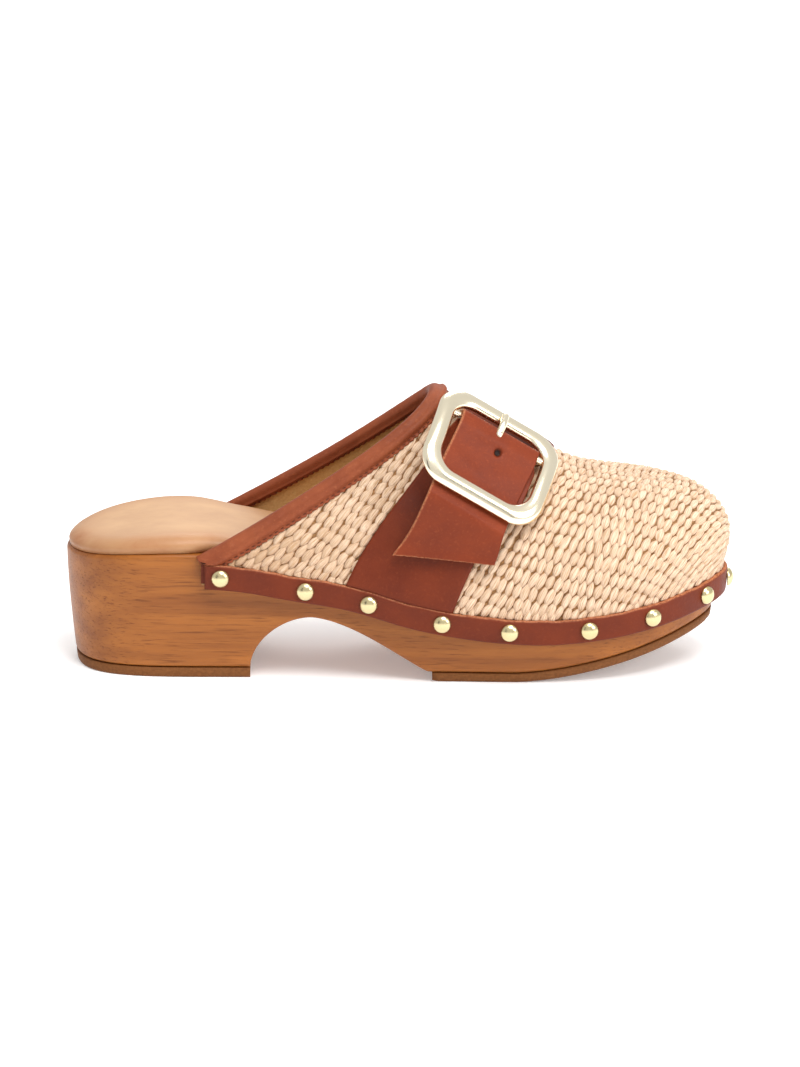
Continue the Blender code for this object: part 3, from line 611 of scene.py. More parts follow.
# outline ring at a height given as a function of x
def levelAt(height, out=0.0):
    def ring(station):
        x = sideX(station)
        for step in range(3):
            x = sidePoint(station, height(x), out)[..., 0]
        return sidePoint(station, height(x), out)

    return ring


sole = {"round": 1.4 * mm, "steps": 10, "fineStations": 260}


def buildSole():
    arch = np.linspace(last["breastAlong"], last["archEndAlong"], 110) * last["length"]
    breastShares = np.linspace(0, 0.3, 14) ** 1.5
    breast = (last["breastAlong"] + (last["archPeakAlong"] - last["breastAlong"]) * breastShares) * last["length"]
    middle = stationAt(np.unique(np.concatenate([arch, breast])))
    stations = np.concatenate([np.linspace(0, 3.5, 70), middle, np.linspace(middle[-1] + 0.05, tip, 90)])
    stations = np.unique(np.round(stations, 5))
    eased = sole["round"]
    turns = np.linspace(0, quarterTurn, 5)
    levels = [levelAt(lambda x: rimHeight(x), -eased * 2.2)]
    for turn in turns:
        inwards = -eased * (1 - math.sin(turn))
        levels.append(levelAt(lambda x, t=turn: rimHeight(x) - eased * (1 - math.cos(t)), inwards))
    for share in np.linspace(0.12, 0.88, sole["steps"]):
        levels.append(levelAt(lambda x, s=share: rimHeight(x) * (1 - s) + underside(x) * s))
    for turn in turns[::-1]:
        inwards = -eased * (1 - math.sin(turn))
        levels.append(levelAt(lambda x, t=turn: underside(x) + eased * (1 - math.cos(t)), inwards))
    slabPiece("carvedSole", stations, levels, [wood], ["wood_sole"])

    heelStations = np.linspace(0, float(stationAt(last["breastAlong"] * last["length"])), 80)
    lift = sizes["lift"]
    levels = [
        levelAt(lambda x: np.full_like(x, lift), -0.3 * mm),
        levelAt(lambda x: np.full_like(x, lift - 0.3 * mm)),
        levelAt(lambda x: np.full_like(x, 0.8 * mm)),
        levelAt(lambda x: np.full_like(x, 0.25 * mm), -0.2 * mm),
        levelAt(np.zeros_like, -0.7 * mm),
    ]
    slabPiece("heelLift", heelStations, levels, [rubber], ["heel_lift"])

    start = float(stationAt((last["archEndAlong"] + 0.006) * last["length"]))
    foreStations = np.concatenate([[start, start + 0.12], np.linspace(start + 0.2, tip, 110)])

    def lower(station):
        ends = np.isclose(station, start) | np.isclose(station, 2 * tip - start)
        inwards = np.where(station < tip, 1, -1) * 0.09
        return levelAt(springHeight, -0.6 * mm)(np.where(ends, station + inwards, station))

    levels = [
        levelAt(lambda x: springHeight(x) + sizes["outsole"], -0.3 * mm),
        levelAt(lambda x: springHeight(x) + sizes["outsole"] - 0.3 * mm),
        levelAt(lambda x: springHeight(x) + 0.7 * mm),
        lower,
    ]
    slabPiece("forefootTread", foreStations, levels, [rubber], ["forefoot_outsole"])


buildSole()
print("sole made")

insoleForm = {
    "drawIn": 4.0 * mm,
    "edge": 0.8 * mm,
    "swell": 1.5 * mm,
    "swellAt": 42 * mm,
    "swellReach": 20 * mm,
}


def buildInsole():
    stations = np.unique(np.concatenate([np.linspace(0, 3.4, 90), np.linspace(3.4, tip, 90)]))

    def inset(station):
        fromHeel = np.where(station > tip, 2 * tip - station - innerLagStations, station)
        share = np.clip((fromHeel - 2.7) / 0.8, 0, 1)
        return insoleForm["edge"] + insoleForm["drawIn"] * share**2 * (3 - 2 * share)

    def level(share, more):
        def ring(station):
            place = sidePoint(station, rimHeight(sideX(station)), -inset(station) - more)
            away = (place[..., 0] - insoleForm["swellAt"]) / insoleForm["swellReach"]
            swell = insoleForm["swell"] * np.exp(-(away**2))
            top = rimHeight(place[..., 0]) + sizes["gap"] + (sizes["insole"] + swell) * max(share, 0)
            return np.concatenate([place[..., :2], top[..., None]], axis=-1)

        return ring

    turns = np.linspace(quarterTurn, -0.15, 12)
    levels = [level(1.0, 15 * mm), level(1.0, 10 * mm)]
    edge = [0.0, 0.15]
    for turn in turns:
        levels.append(level(0.36 + 0.64 * math.sin(turn), 7 * mm * (1 - math.cos(turn))))
        edge.append(0.35 + 0.65 * math.cos(turn))
    levels.append(level(0.0, 0.3 * mm))
    edge.append(1.0)
    slabPiece("paddedInsole", stations, levels, [insoleLeather], ["insole"], {"edge": edge})


buildInsole()
print("insole made")

# raffia: leaf-shaped stitches laid in rows at even distances from the middle line
weave = {
    "square": 7.5,
    "rowPitch": 5.5 * mm,
    "stitchPitch": 3.1 * mm,
    "leafLength": 8.0 * mm,
    "leafWidth": 3.2 * mm,
    "leafHeight": 0.85 * mm,
    "leafSink": 0.5 * mm,
    "lean": 76.0,
    "toeLean": 6.0 * mm,
    "anchor": 155.0 * mm,
    "seed": 5,
    "gridStations": 200,
    "gridAngles": 110,
    "ribCurves": 100,
    "cutCurves": 140,
    "footReach": 0.45,  # share of the row pitch that a row may run past the foot
    "wander": 0.10 * mm,
    "leanSpread": 0.06,
    "leafRings": 14,
    "leafBow": 0.22 * mm,
    "sizeSpread": 0.07,
    # painted shade on the stitches: full up to the first distance from the heel's back, gone after the second
    "paintedShadeUntil": 60.0 * mm,
    "paintedShadeGoneAt": 120.0 * mm,
    "underStrap": 1.5 * mm,
    "underBinding": 2.6 * mm,
    "pressedReach": 0.9 * mm,
    "groundOuter": -0.35 * mm,
    "groundInner": -1.9 * mm,
    "groundStations": 220,
    "groundAngles": 50,
}


# ground cloth under the stitches, closed to a thin shell
def buildGround():
    count, rows = weave["groundStations"], weave["groundAngles"]
    stations = np.linspace(topline + 0.02, 2 * tip - topline - 0.02, count)
    angles = np.linspace(0, quarterTurn, rows)
    feet = stations - innerLag(stations)
    footHeight = randTop(sideX(feet)) - sizes["randHeight"] + mm
    faceOut, faceIn = weave["groundOuter"], weave["groundInner"]
    outer, inner = (skin(stations[:, None], angles[None, :], np.full((count, rows), d)) for d in (faceOut, faceIn))
    low, lowInner = (sidePoint(feet, footHeight, skinOut + d)[:, None] for d in (faceOut, faceIn))
    sheet = np.concatenate([low, outer, inner[:, ::-1], lowInner], axis=1)
    faces = gridQuads(len(stations), sheet.shape[1], closeColumns=True).tolist()
    n = sheet.shape[1]
    faces += [list(range(n)), list(range((len(stations) - 1) * n, len(stations) * n))[::-1]]
    look = np.zeros(len(faces), int)
    column = np.arange(len(faces) - 2) % n
    look[:-2] = (column > rows + 1) & (column < 2 * rows + 1)
    makePiece("vampGround", sheet, faces, [ground, suede], ["upper"], look=look, merge=False)


def sideStation(station, side):
    return station if side < 0 else 2 * tip - station


# curves over the vamp, from its middle line down one side: ribs at first, then cuts square to the shoe's length
def vampCurves(side):
    grid = np.linspace(topline, tip, weave["gridStations"])
    angles = np.linspace(0, quarterTurn, weave["gridAngles"])
    x = skin(sideStation(grid[:, None], side), angles[None, :])[..., 0]
    ribs = np.linspace(topline, weave["square"], weave["ribCurves"])
    curves = [np.stack([np.full(len(angles), s), angles[::-1]], axis=1) for s in ribs]
    start = np.interp(weave["square"], grid, x[:, -1])
    # towards the toe the cuts lean, so that they also pass over the bulge of its front
    lean = np.maximum.accumulate(x[-1, ::-1])[::-1] - x[-1] + weave["toeLean"] * (1 - angles / quarterTurn)
    x = x + lean * np.clip((x - start) / (x.max() - start), 0, 1) ** 2
    for cut in start + (x[-1, 0] - start) * np.sin(np.linspace(0, quarterTurn, weave["cutCurves"]))[1:-1]:
        top = np.interp(cut, x[-1, ::-1], angles[::-1])
        below = np.flatnonzero(angles < top - 0.001)[::-1]
        stations = [np.interp(cut, x[:, -1], grid)] + [np.interp(cut, x[:, k], grid) for k in below]
        curves.append(np.stack([stations, np.append(top, angles[below])], axis=1))
    return curves


def strapCentre(angle):
    share = angle / quarterTurn
    return 6.13 - 1.8 * share + 1.6 * share**2


# way towards the toe at right angles to a rib, and stations a metre that way
def acrossSkin(station, angle):
    up = unit(skin(station, np.minimum(angle + 0.02, quarterTurn)) - skin(station, np.maximum(angle - 0.02, 0)))
    along = (skin(station + 0.05, angle) - skin(station, angle)) / 0.05
    along = along - up * np.sum(along * up, axis=-1, keepdims=True)
    speed = np.linalg.norm(along, axis=-1)
    return along / speed[..., None], 1 / speed


# rows of stitches at even distances from the middle line, every row in step where it crosses the anchor's plane
def stitchCentres(side, random):
    curves = vampCurves(side)
    lengths = []
    for curve in curves:
        points = skin(sideStation(curve[:, 0], side), curve[:, 1])
        lengths.append(np.concatenate([[0], np.cumsum(np.linalg.norm(np.diff(points, axis=0), axis=1))]))
    found = []
    for row in range(int(max(length[-1] for length in lengths) / weave["rowPitch"]) + 1):
        down = (row + 0.5) * weave["rowPitch"]
        long = [(c, d) for c, d in zip(curves, lengths) if d[-1] > down - weave["footReach"] * weave["rowPitch"]]
        if len(long) < 3:
            continue
        at = np.array([[np.interp(down, d, c[:, 0]), np.interp(down, d, c[:, 1])] for c, d in long])
        path = skin(sideStation(at[:, 0], side), at[:, 1])
        travel = np.concatenate([[0], np.cumsum(np.linalg.norm(np.diff(path, axis=0), axis=1))])
        heading = np.gradient(path, axis=0)
        crossing = np.clip(weave["anchor"], path[0, 0], path[:, 0].max())
        phase = np.interp(crossing, path[:, 0], travel) + weave["anchor"] - crossing
        where = np.arange(phase % weave["stitchPitch"], travel[-1], weave["stitchPitch"])
        where = where + random.normal(0, weave["wander"], len(where))
        rows = [np.interp(where, travel, values) for values in (*at.T, *heading.T)]
        found.append(np.stack(rows, axis=1))
    found = np.concatenate(found)
    return sideStation(found[:, 0], side), found[:, 1], found[:, 2:]


def buildStitches(name, side, seed):
    random = np.random.default_rng(seed)
    s, a, rowWay = stitchCentres(side, random)
    count = len(s)
    ps = (skin(s + 0.02, a) - skin(s - 0.02, a)) / 0.04
    pa = (skin(s, np.minimum(a + 0.01, quarterTurn)) - skin(s, np.maximum(a - 0.01, 0)))
    pa = pa / (np.minimum(a + 0.01, quarterTurn) - np.maximum(a - 0.01, 0))[:, None]
    normal = skinNormal(s, a)
    rowWay = unit(rowWay - normal * np.sum(rowWay * normal, axis=1, keepdims=True))
    upWay = unit(np.cross(normal, rowWay))
    upWay = upWay * np.sign(np.sum(upWay * pa, axis=1, keepdims=True)) * -side
    lean = np.radians(weave["lean"]) + random.normal(0, weave["leanSpread"], count)
    leafWay = rowWay * np.cos(lean)[:, None] + upWay * np.sin(lean)[:, None]
    sideWay = -rowWay * np.sin(lean)[:, None] + upWay * np.cos(lean)[:, None]
    # leaf: plump at its lower end, drawn to a point at the upper one
    along = np.linspace(0, 1, weave["leafRings"])
    width = np.sin(halfTurn * along**0.85) ** 0.85
    height = np.sin(halfTurn * along**0.75) ** 0.7
    turns = np.radians([0, 28, 58, 90, 122, 152, 180, 270])
    size = random.normal(1.0, weave["sizeSpread"], (count, 2))
    lengthOf = weave["leafLength"] * size[:, 0]
    widthOf = weave["leafWidth"] * size[:, 1]
    x = (along - 0.5)[None, :, None] * lengthOf[:, None, None]
    y = np.cos(turns)[None, None, :] * width[None, :, None] * widthOf[:, None, None] / 2
    bow = np.sin(halfTurn * along) * weave["leafBow"]
    y = y + (bow[None, :, None] * random.normal(1, 0.5, count)[:, None, None])
    lift = np.maximum(np.sin(turns), -0.4)[None, None, :] * height[None, :, None]
    out = lift * (weave["leafHeight"] + weave["leafSink"]) - weave["leafSink"]
    out = out * random.normal(1, 0.06, count)[:, None, None]
    x, y, out = np.broadcast_arrays(x, y, out)
    moved = leafWay[:, None, None, :] * x[..., None] + sideWay[:, None, None, :] * y[..., None]
    # the move in the tangent plane, as steps of station and angle
    gss = np.sum(ps * ps, axis=1)
    gsa = np.sum(ps * pa, axis=1)
    gaa = np.sum(pa * pa, axis=1)
    det = gss * gaa - gsa**2
    ms = np.sum(moved * ps[:, None, None, :], axis=-1)
    ma = np.sum(moved * pa[:, None, None, :], axis=-1)
    ds = (ms * gaa[:, None, None] - ma * gsa[:, None, None]) / det[:, None, None]
    da = (ma * gss[:, None, None] - ms * gsa[:, None, None]) / det[:, None, None]
    leafStation = s[:, None, None] + ds
    leafAngle = np.clip(a[:, None, None] + da, 0, halfTurn)
    out = pressedUnderLeather(leafStation, leafAngle, out)
    points = skin(leafStation, leafAngle, out)
    shape = points.shape
    faces = manyGrids(count, shape[1], shape[2])
    keep = keptStitches(s, a)
    faces = faces.reshape(count, -1, 4)[keep].reshape(-1, 4)
    used, faces = np.unique(faces, return_inverse=True)
    faces = faces.reshape(-1, 4)
    # both ends run to a point, so a face with doubled corners there becomes a triangle when doubles merge
    first = along[None, :, None] + random.uniform(0, 50, count)[:, None, None]
    second = (np.cos(turns) * 0.5)[None, None, :] + random.uniform(0, 50, count)[:, None, None]
    uv = np.stack(np.broadcast_arrays(first, second), axis=-1)
    # painted shade: stitches behind the strap are darker than those in front of it, a shade painted into their
    # colour on top of their own random tone
    spread = weave["paintedShadeGoneAt"] - weave["paintedShadeUntil"]
    ahead = np.clip((points[:, weave["leafRings"] // 2, 2, 0] - weave["paintedShadeUntil"]) / spread, 0, 1)
    toneAndPaintedShade = np.clip(0.7 * ahead + random.uniform(0, 0.4, count), 0, 1)
    toneAndPaintedShade = np.broadcast_to(toneAndPaintedShade[:, None, None], shape[:3])
    # painted shade: the two ends of each stitch, where they dip under their neighbours, are darkened towards the
    # tuck colour
    endShade = np.clip(1 - along / 0.12, 0, 1) + np.clip((along - 0.86) / 0.14, 0, 1)
    tuckShade = np.broadcast_to(endShade[None, :, None] * 0.4, shape[:3])
    makePiece(
        name,
        points.reshape(-1, 3)[used],
        faces,
        [raffia],
        uv=uv.reshape(-1, 2)[used],
        tones={"toneAndPaintedShade": toneAndPaintedShade.ravel()[used], "tuckShade": tuckShade.ravel()[used]},
    )
    print(name, "stitches:", int(np.count_nonzero(keep)))


# stitches that the binding or the strap covers are left out
def keptStitches(station, angle):
    away = strapDistance(station, angle)
    edge = toplineDistance(station, angle)
    clearOfStrap = np.abs(away) > sizes["strapWidth"] / 2 - weave["underStrap"]
    return clearOfStrap & (edge > sizes["bindingWidth"] - weave["underBinding"])


def outerOf(station, angle):
    station = np.where(angle > quarterTurn, 2 * tip - station, station)
    angle = np.where(angle > quarterTurn, halfTurn - angle, angle)
    return np.where(station > tip, 2 * tip - station, station), angle


def strapDistance(station, angle):
    station, angle = outerOf(station, angle)
    fine = np.linspace(0, quarterTurn, 40)
    rate = np.interp(angle, fine, acrossSkin(strapCentre(fine), fine)[1])
    return (station - strapCentre(angle)) / rate


def toplineDistance(station, angle):
    station, angle = outerOf(station, angle)
    fine = np.linspace(0, quarterTurn, 40)
    rate = np.interp(angle, fine, acrossSkin(np.full(40, topline), fine)[1])
    return (station - topline) / rate


def pressedUnderLeather(station, angle, out):
    away = np.abs(strapDistance(station, angle)) - sizes["strapWidth"] / 2
    edge = toplineDistance(station, angle) - sizes["bindingWidth"]
    free = np.clip(np.minimum(away, edge) / weave["pressedReach"], 0, 1)
    ceiling = -0.1 * mm + free * 2 * mm
    return np.minimum(out, ceiling)


buildGround()
buildStitches("raffiaOuterSide", -1, weave["seed"])
buildStitches("raffiaInnerSide", 1, weave["seed"] + 1)
print("vamp made")


# rings up the outer side, then down the inner side, the ridge's ring once
def bothSides(lateral):
    return np.concatenate([lateral(-1), lateral(1)[:-1][::-1]])


# cubic from b to c at steps of the way, its slopes being half the chords from a to c and from b to d
def cubicRuns(quads, each):
    t = np.linspace(0, 1, each, endpoint=False)[:, None]
    return [
        0.5 * (2 * b + (c - a) * t + (2 * a - 5 * b + 4 * c - d) * t**2 + (3 * b - a - 3 * c + d) * t**3)
        for a, b, c, d in quads
    ]


# closed smooth curve of such cubics through the points of a section
def smoothLoop(points, each):
    points = np.array(points, float)
    neighbours = (np.roll(points, 1, 0), points, np.roll(points, -1, 0), np.roll(points, -2, 0))
    return np.concatenate(cubicRuns(zip(*neighbours), each))


binding = {"rings": 300, "stitchPitch": 2.6 * mm, "pucker": 0.10 * mm, "wave": 0.22 * mm, "innerWing": 0.62}


def evenAngles(count):
    fine = np.linspace(0, quarterTurn, 400)
    path = skin(np.full(400, topline), fine)
    travel = np.concatenate([[0], np.cumsum(np.linalg.norm(np.diff(path, axis=0), axis=1))])
    return np.interp(np.linspace(0, travel[-1], count), travel, fine), travel[-1]


def bindingPoint(side, angles, across, outOf):
    station = np.full_like(angles, topline)
    way, rate = acrossSkin(station, angles)
    way = way * (1, 1 if side < 0 else -1, 1)
    on = np.maximum(across, 0)
    place = skin(sideStation(station + on * rate, side), angles)
    normal = skinNormal(sideStation(station + on * rate, side), angles)
    return place + way * np.minimum(across, 0)[..., None] + normal * np.asarray(outOf)[..., None]


def buildBinding():
    gap, wall = sizes["gap"], sizes["wall"] + sizes["gap"]
    thick, pad, width = sizes["bindingWall"], sizes["bindingPadding"], sizes["bindingWidth"]
    inside = width * binding["innerWing"]
    middle = -sizes["wall"] / 2
    roll = sizes["wall"] / 2 + gap + thick + pad * 0.5
    section = smoothLoop(
        [
            (width, gap - 0.1 * mm),
            (width, gap + thick * 0.6),
            (width * 0.80, gap + thick * 0.75),
            (width * 0.62, gap + thick + pad * 0.8),
            (width * 0.34, gap + thick + pad * 1.05),
            (0.4 * mm, middle + roll * 0.98),
            (-roll * 0.66, middle + roll * 0.72),
            (-roll, middle),
            (-roll * 0.66, middle - roll * 0.72),
            (0.4 * mm, middle - roll * 0.95),
            (inside * 0.45, -wall - thick - pad * 0.5),
            (inside * 0.78, -wall - thick * 0.9),
            (inside, -wall - thick * 0.7),
            (inside, -wall + 0.1 * mm),
            (inside * 0.5, -wall + 0.1 * mm),
            (-gap, -wall + 0.2 * mm),
            (-gap, gap),
            (width * 0.5, gap - 0.1 * mm),
        ],
        4,
    )
    angles, travel = evenAngles(binding["rings"])
    phase = np.linspace(0, travel, binding["rings"]) / binding["stitchPitch"] * 2 * halfTurn

    def rings(side):
        made = []
        for across, outOf in section:
            near = np.clip((across / (width if outOf > middle else inside) - 0.8) / 0.2, 0, 1)
            wave = near * binding["wave"] * np.cos(phase)
            puff = near * binding["pucker"] * np.cos(phase) * (1 if outOf > middle else -1)
            crease = np.sin(phase * 0.37 + across * 900) * np.sin(phase * 0.113 + 1.3) * 0.06 * mm
            crease = crease * (1 if outOf > middle else -1)
            made.append(bindingPoint(side, angles, np.full_like(angles, across) + wave, outOf + puff + crease))
        return np.stack(made, axis=1)

    points = bothSides(rings)
    n = points.shape[1]
    faces = gridQuads(len(points), n, closeColumns=True).tolist()
    faces += [list(range(n)), list(range((len(points) - 1) * n, len(points) * n))[::-1]]
    makePiece("collarBinding", points, faces, [bindingLeather], ["collar_binding"], merge=False)
    buildThread(angles, travel, width, wall, thick)


# small sunk thread stitches along both edges of the binding
def buildThread(angles, travel, width, wall, thick):
    inner = width * binding["innerWing"]
    count = int(travel / binding["stitchPitch"])
    at = (np.arange(count) + 0.5) / count
    centre = np.interp(at, np.linspace(0, 1, len(angles)), angles)
    length, radius = 1.5 * mm, 0.2 * mm
    steps = np.linspace(-0.5, 0.5, 7)
    turns = np.arange(6) * 2 * halfTurn / 6
    swell = np.sqrt(np.clip(1 - (2 * steps) ** 4, 0, 1))
    perAngle = np.interp(centre, angles, np.gradient(angles, travel / (len(angles) - 1)))
    blocks = []
    for side in (-1, 1):
        for across, height in ((width * 0.86, sizes["gap"] + thick * 0.74), (inner * 0.82, -wall - thick * 0.85)):
            angle = centre[:, None] + steps[None, :] * (length * perAngle)[:, None]
            flat = angle[:, :, None] + 0 * turns[None, None, :]
            acrossAt = across + radius * swell[None, :, None] * np.cos(turns)[None, None, :] + 0 * flat
            outAt = height + radius * 0.8 * swell[None, :, None] * np.sin(turns)[None, None, :] + 0 * flat
            shape = flat.shape
            points = bindingPoint(side, np.clip(flat.ravel(), 0.001, quarterTurn), acrossAt.ravel(), outAt.ravel())
            blocks.append(points.reshape(shape + (3,)))
    points = np.concatenate(blocks)
    faces = manyGrids(*points.shape[:3])
    makePiece("bindingThread", points, faces, [thread])


buildBinding()
print("binding made")


# sheet of leather from rows of points on its outer face and on its inner face: two faces and raw sides
def leatherSheet(name, outer, inner, looks, stands, tones=None):
    rows, columns = outer.shape[:2]
    points = np.concatenate([outer, inner[:, ::-1]], axis=1)
    n = 2 * columns
    faces = gridQuads(rows, n, closeColumns=True)
    column = np.tile(np.arange(n), rows - 1)
    look = ((column == columns - 1) | (column == n - 1)).astype(int)
    faces = faces.tolist()
    look = look.tolist()
    for start in (0, (rows - 1) * n):
        for k in range(columns - 1):
            faces.append([start + k, start + k + 1, start + n - 2 - k, start + n - 1 - k])
            look.append(1)
    made = {k: np.concatenate([v, np.zeros_like(v)], axis=1) for k, v in (tones or {}).items()}
    return makePiece(name, points, faces, looks, stands, look=look, tones=made, merge=False)


# soft troughs and ridges, listed in mm in the piece's own plane: ends of the line, half width and height
Crease = namedtuple("Crease", "a0 b0 a1 b1 width height")
tabCreases = (
    Crease(-6.0, 5.0, 3.0, 7.0, 3.0, 0.35),
    Crease(-14.0, -6.0, -4.0, -9.0, 2.6, -0.25),
    Crease(4.0, -6.0, 14.0, -3.0, 3.2, -0.30),
    Crease(-15.0, -33.0, 2.0, -36.0, 3.0, -0.30),
    Crease(6.0, -28.0, 14.0, -36.0, 3.5, 0.35),
)


# height of the creases at (a, b): each falls off as exp(-(distance / width)^2) from its line
def creased(a, b, creases):
    total = 0.0
    for crease in creases:
        a0, b0, a1, b1, width, height = (value * mm for value in crease)
        run, climb = a1 - a0, b1 - b0
        share = np.clip(((a - a0) * run + (b - b0) * climb) / (run**2 + climb**2), 0, 1)
        total = total + height * np.exp(-((a - a0 - share * run) ** 2 + (b - b0 - share * climb) ** 2) / width**2)
    return total


strapForm = {"rings": 150, "columns": 60, "edgeRound": 0.5 * mm}
strapCreases = (
    Crease(-14.0, 6.0, 6.0, 9.0, 3.0, -0.35),
    Crease(-6.0, 13.0, 14.0, 15.0, 3.5, 0.30),
    Crease(-15.0, 24.0, -2.0, 22.0, 3.0, -0.30),
    Crease(2.0, 52.0, 15.0, 48.0, 3.5, -0.30),
)


def buildStrap():
    angles = np.linspace(0.0, quarterTurn, strapForm["rings"])
    across = np.linspace(-1, 1, strapForm["columns"])
    centre = strapCentre(angles)
    rate = acrossSkin(centre, angles)[1]

    def rings(side, out):
        station = centre[:, None] + across[None, :] * (rate * sizes["strapWidth"] / 2)[:, None]
        spread = np.broadcast_to(angles[:, None], station.shape)
        ease = strapForm["edgeRound"] * np.clip((np.abs(across) - 0.94) / 0.06, 0, 1) ** 2
        ripple = creased(across[None, :] * sizes["strapWidth"] / 2, spread * 40 * mm, strapCreases)
        rise = np.full(station.shape, out) + (ripple if out > mm else 0) - (ease[None, :] if out > mm else 0)
        return skin(sideStation(station, side), spread, rise)

    outer = bothSides(lambda side: rings(side, sizes["gap"] + sizes["strapThickness"]))
    inner = bothSides(lambda side: rings(side, 0.1 * mm))
    leatherSheet("instepStrap", outer, inner, [cognac, rawEdge], ["strap"])


buildStrap()

randForm = {"rings": 420, "levels": 24, "wave": 0.25 * mm}


def buildRand():
    stations = np.linspace(randStart, 2 * tip - randStart, randForm["rings"])
    stations = stations - innerLag(stations)
    top = randTop(sideX(stations))
    inner = skinOut + 0.1 * mm
    outer = skinOut + sizes["gap"] + sizes["randThickness"]
    down = np.linspace(0, 1, randForm["levels"])
    travel = np.linspace(0, 60, randForm["rings"])
    wavy = (np.sin(travel * 2.3) + 0.6 * np.sin(travel * 5.1 + 1)) * randForm["wave"] * 0.5
    ease = 0.4 * mm * np.clip((np.abs(down * 2 - 1) - 0.85) / 0.15, 0, 1) ** 2

    def sheet(out, eased):
        height = top[:, None] - down[None, :] * sizes["randHeight"] + wavy[:, None] * (1 - down[None, :])
        place = np.full(height.shape, out) - (ease[None, :] if eased else 0)
        return sidePoint(np.broadcast_to(stations[:, None], height.shape), height, place)

    raw = np.broadcast_to(np.clip(1 - down / 0.05, 0, 1), (len(stations), len(down)))
    faces = sheet(outer, True), sheet(inner, False)
    leatherSheet("nailedRand", *faces, [cognac, rawEdge], ["rand"], tones={"raw": raw})
    # second layer that shows behind the rand's two rear ends
    for label, first, way in (("Outer", randStart, -1), ("Inner", float(stations[-1]), 1)):
        ends = first + way * np.linspace(0.055, -0.35, 14)
        tops = randTop(sideX(ends))[:, None] + 0.6 * mm - down[None, :] * (sizes["randHeight"] - 1.2 * mm)
        spread = np.broadcast_to(ends[:, None], tops.shape)
        outerFace = sidePoint(spread, tops, np.full(tops.shape, skinOut + 0.2 * mm))
        innerFace = sidePoint(spread, tops, np.full(tops.shape, 0.3 * mm))
        leatherSheet("randLining" + label, outerFace, innerFace, [cognac, rawEdge], [])


buildRand()
print("strap and rand made")


# domed nail heads, turned from a quarter ellipse with a rolled rim, each facing straight out of the rand
def buildStuds():
    stations = np.array(list(studStations) + [tip] + [2 * tip - s for s in studStations])
    stations = stations - innerLag(stations)
    height = randTop(sideX(stations)) - sizes["randHeight"] / 2
    out = skinOut + sizes["gap"] + sizes["randThickness"] + 0.05 * mm
    place = sidePoint(stations, height, np.full_like(stations, out))
    facing = unit(place - sidePoint(stations, height, np.full_like(stations, out - mm)))
    upwards = np.array([0, 0, 1.0])
    first = unit(np.cross(upwards, facing))
    second = np.cross(facing, first)
    turn = np.linspace(0, quarterTurn, 12)
    half = sizes["studDiameter"] / 2
    radius = np.concatenate([[0], half * np.array([0.9, 0.985]), half * np.cos(turn)])
    rise = np.concatenate([[0, 0, 0], sizes["studHeight"] * np.sin(turn)])
    around = np.arange(32) * 2 * halfTurn / 32
    place, facing, first, second = (v[:, None, None, :] for v in (place, facing, first, second))
    disc = first * np.cos(around)[None, None, :, None] + second * np.sin(around)[None, None, :, None]
    points = place + disc * radius[None, :, None, None] + facing * rise[None, :, None, None]
    faces = manyGrids(*points.shape[:3])
    names = [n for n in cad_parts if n.startswith("stud_")]
    makePiece("nailHeads", points, faces, [brass], names)


buildStuds()
print("studs made")


# middle of the buckle on its bent sheet, with the ways along the foot, up over the instep and out
def buckleFrame():
    pitch, roll, turn = (math.radians(buckle[k]) for k in ("pitch", "roll", "turn"))
    along = np.array([math.cos(pitch), 0, -math.sin(pitch)])
    up = np.array([math.sin(pitch) * math.sin(roll), math.cos(roll), math.cos(pitch) * math.sin(roll)])
    out = np.cross(along, up)
    along, up = along * math.cos(turn) + up * math.sin(turn), up * math.cos(turn) - along * math.sin(turn)
    angle = np.array(buckle["angle"])
    seat = strapCentre(angle) + buckle["forward"]
    return skin(seat, angle) + skinNormal(seat, angle) * buckle["lift"], along, up, out


buckleMiddle, buckleAlong, buckleUp, buckleOut = buckleFrame()


def bent(along, up, out):
    turn = np.asarray(up, float)[..., None] / buckle["bend"]
    reach = buckle["bend"] + np.asarray(out, float)[..., None]
    roundIt = buckleUp * np.sin(turn) * reach + buckleOut * (np.cos(turn) * reach - buckle["bend"])
    return buckleMiddle + buckleAlong * np.asarray(along, float)[..., None] + roundIt


# rectangle with rounded corners, anticlockwise, with as many points on each straight run as on each corner
def roundedPath(halfLength, halfHeight, corner, count):
    points = []
    for quarter in range(4):
        centreA = (halfLength - corner) * (1, -1, -1, 1)[quarter]
        centreB = (halfHeight - corner) * (1, 1, -1, -1)[quarter]
        turns = np.linspace(quarter, quarter + 1, count) * quarterTurn
        arc = np.stack([centreA + corner * np.cos(turns), centreB + corner * np.sin(turns)], axis=1)
        points.append(arc)
    loop = []
    for quarter in range(4):
        loop.append(points[quarter])
        start, end = points[quarter][-1], points[(quarter + 1) % 4][0]
        loop.append(start + (end - start) * np.linspace(0, 1, 12)[1:-1, None])
    return np.concatenate(loop)


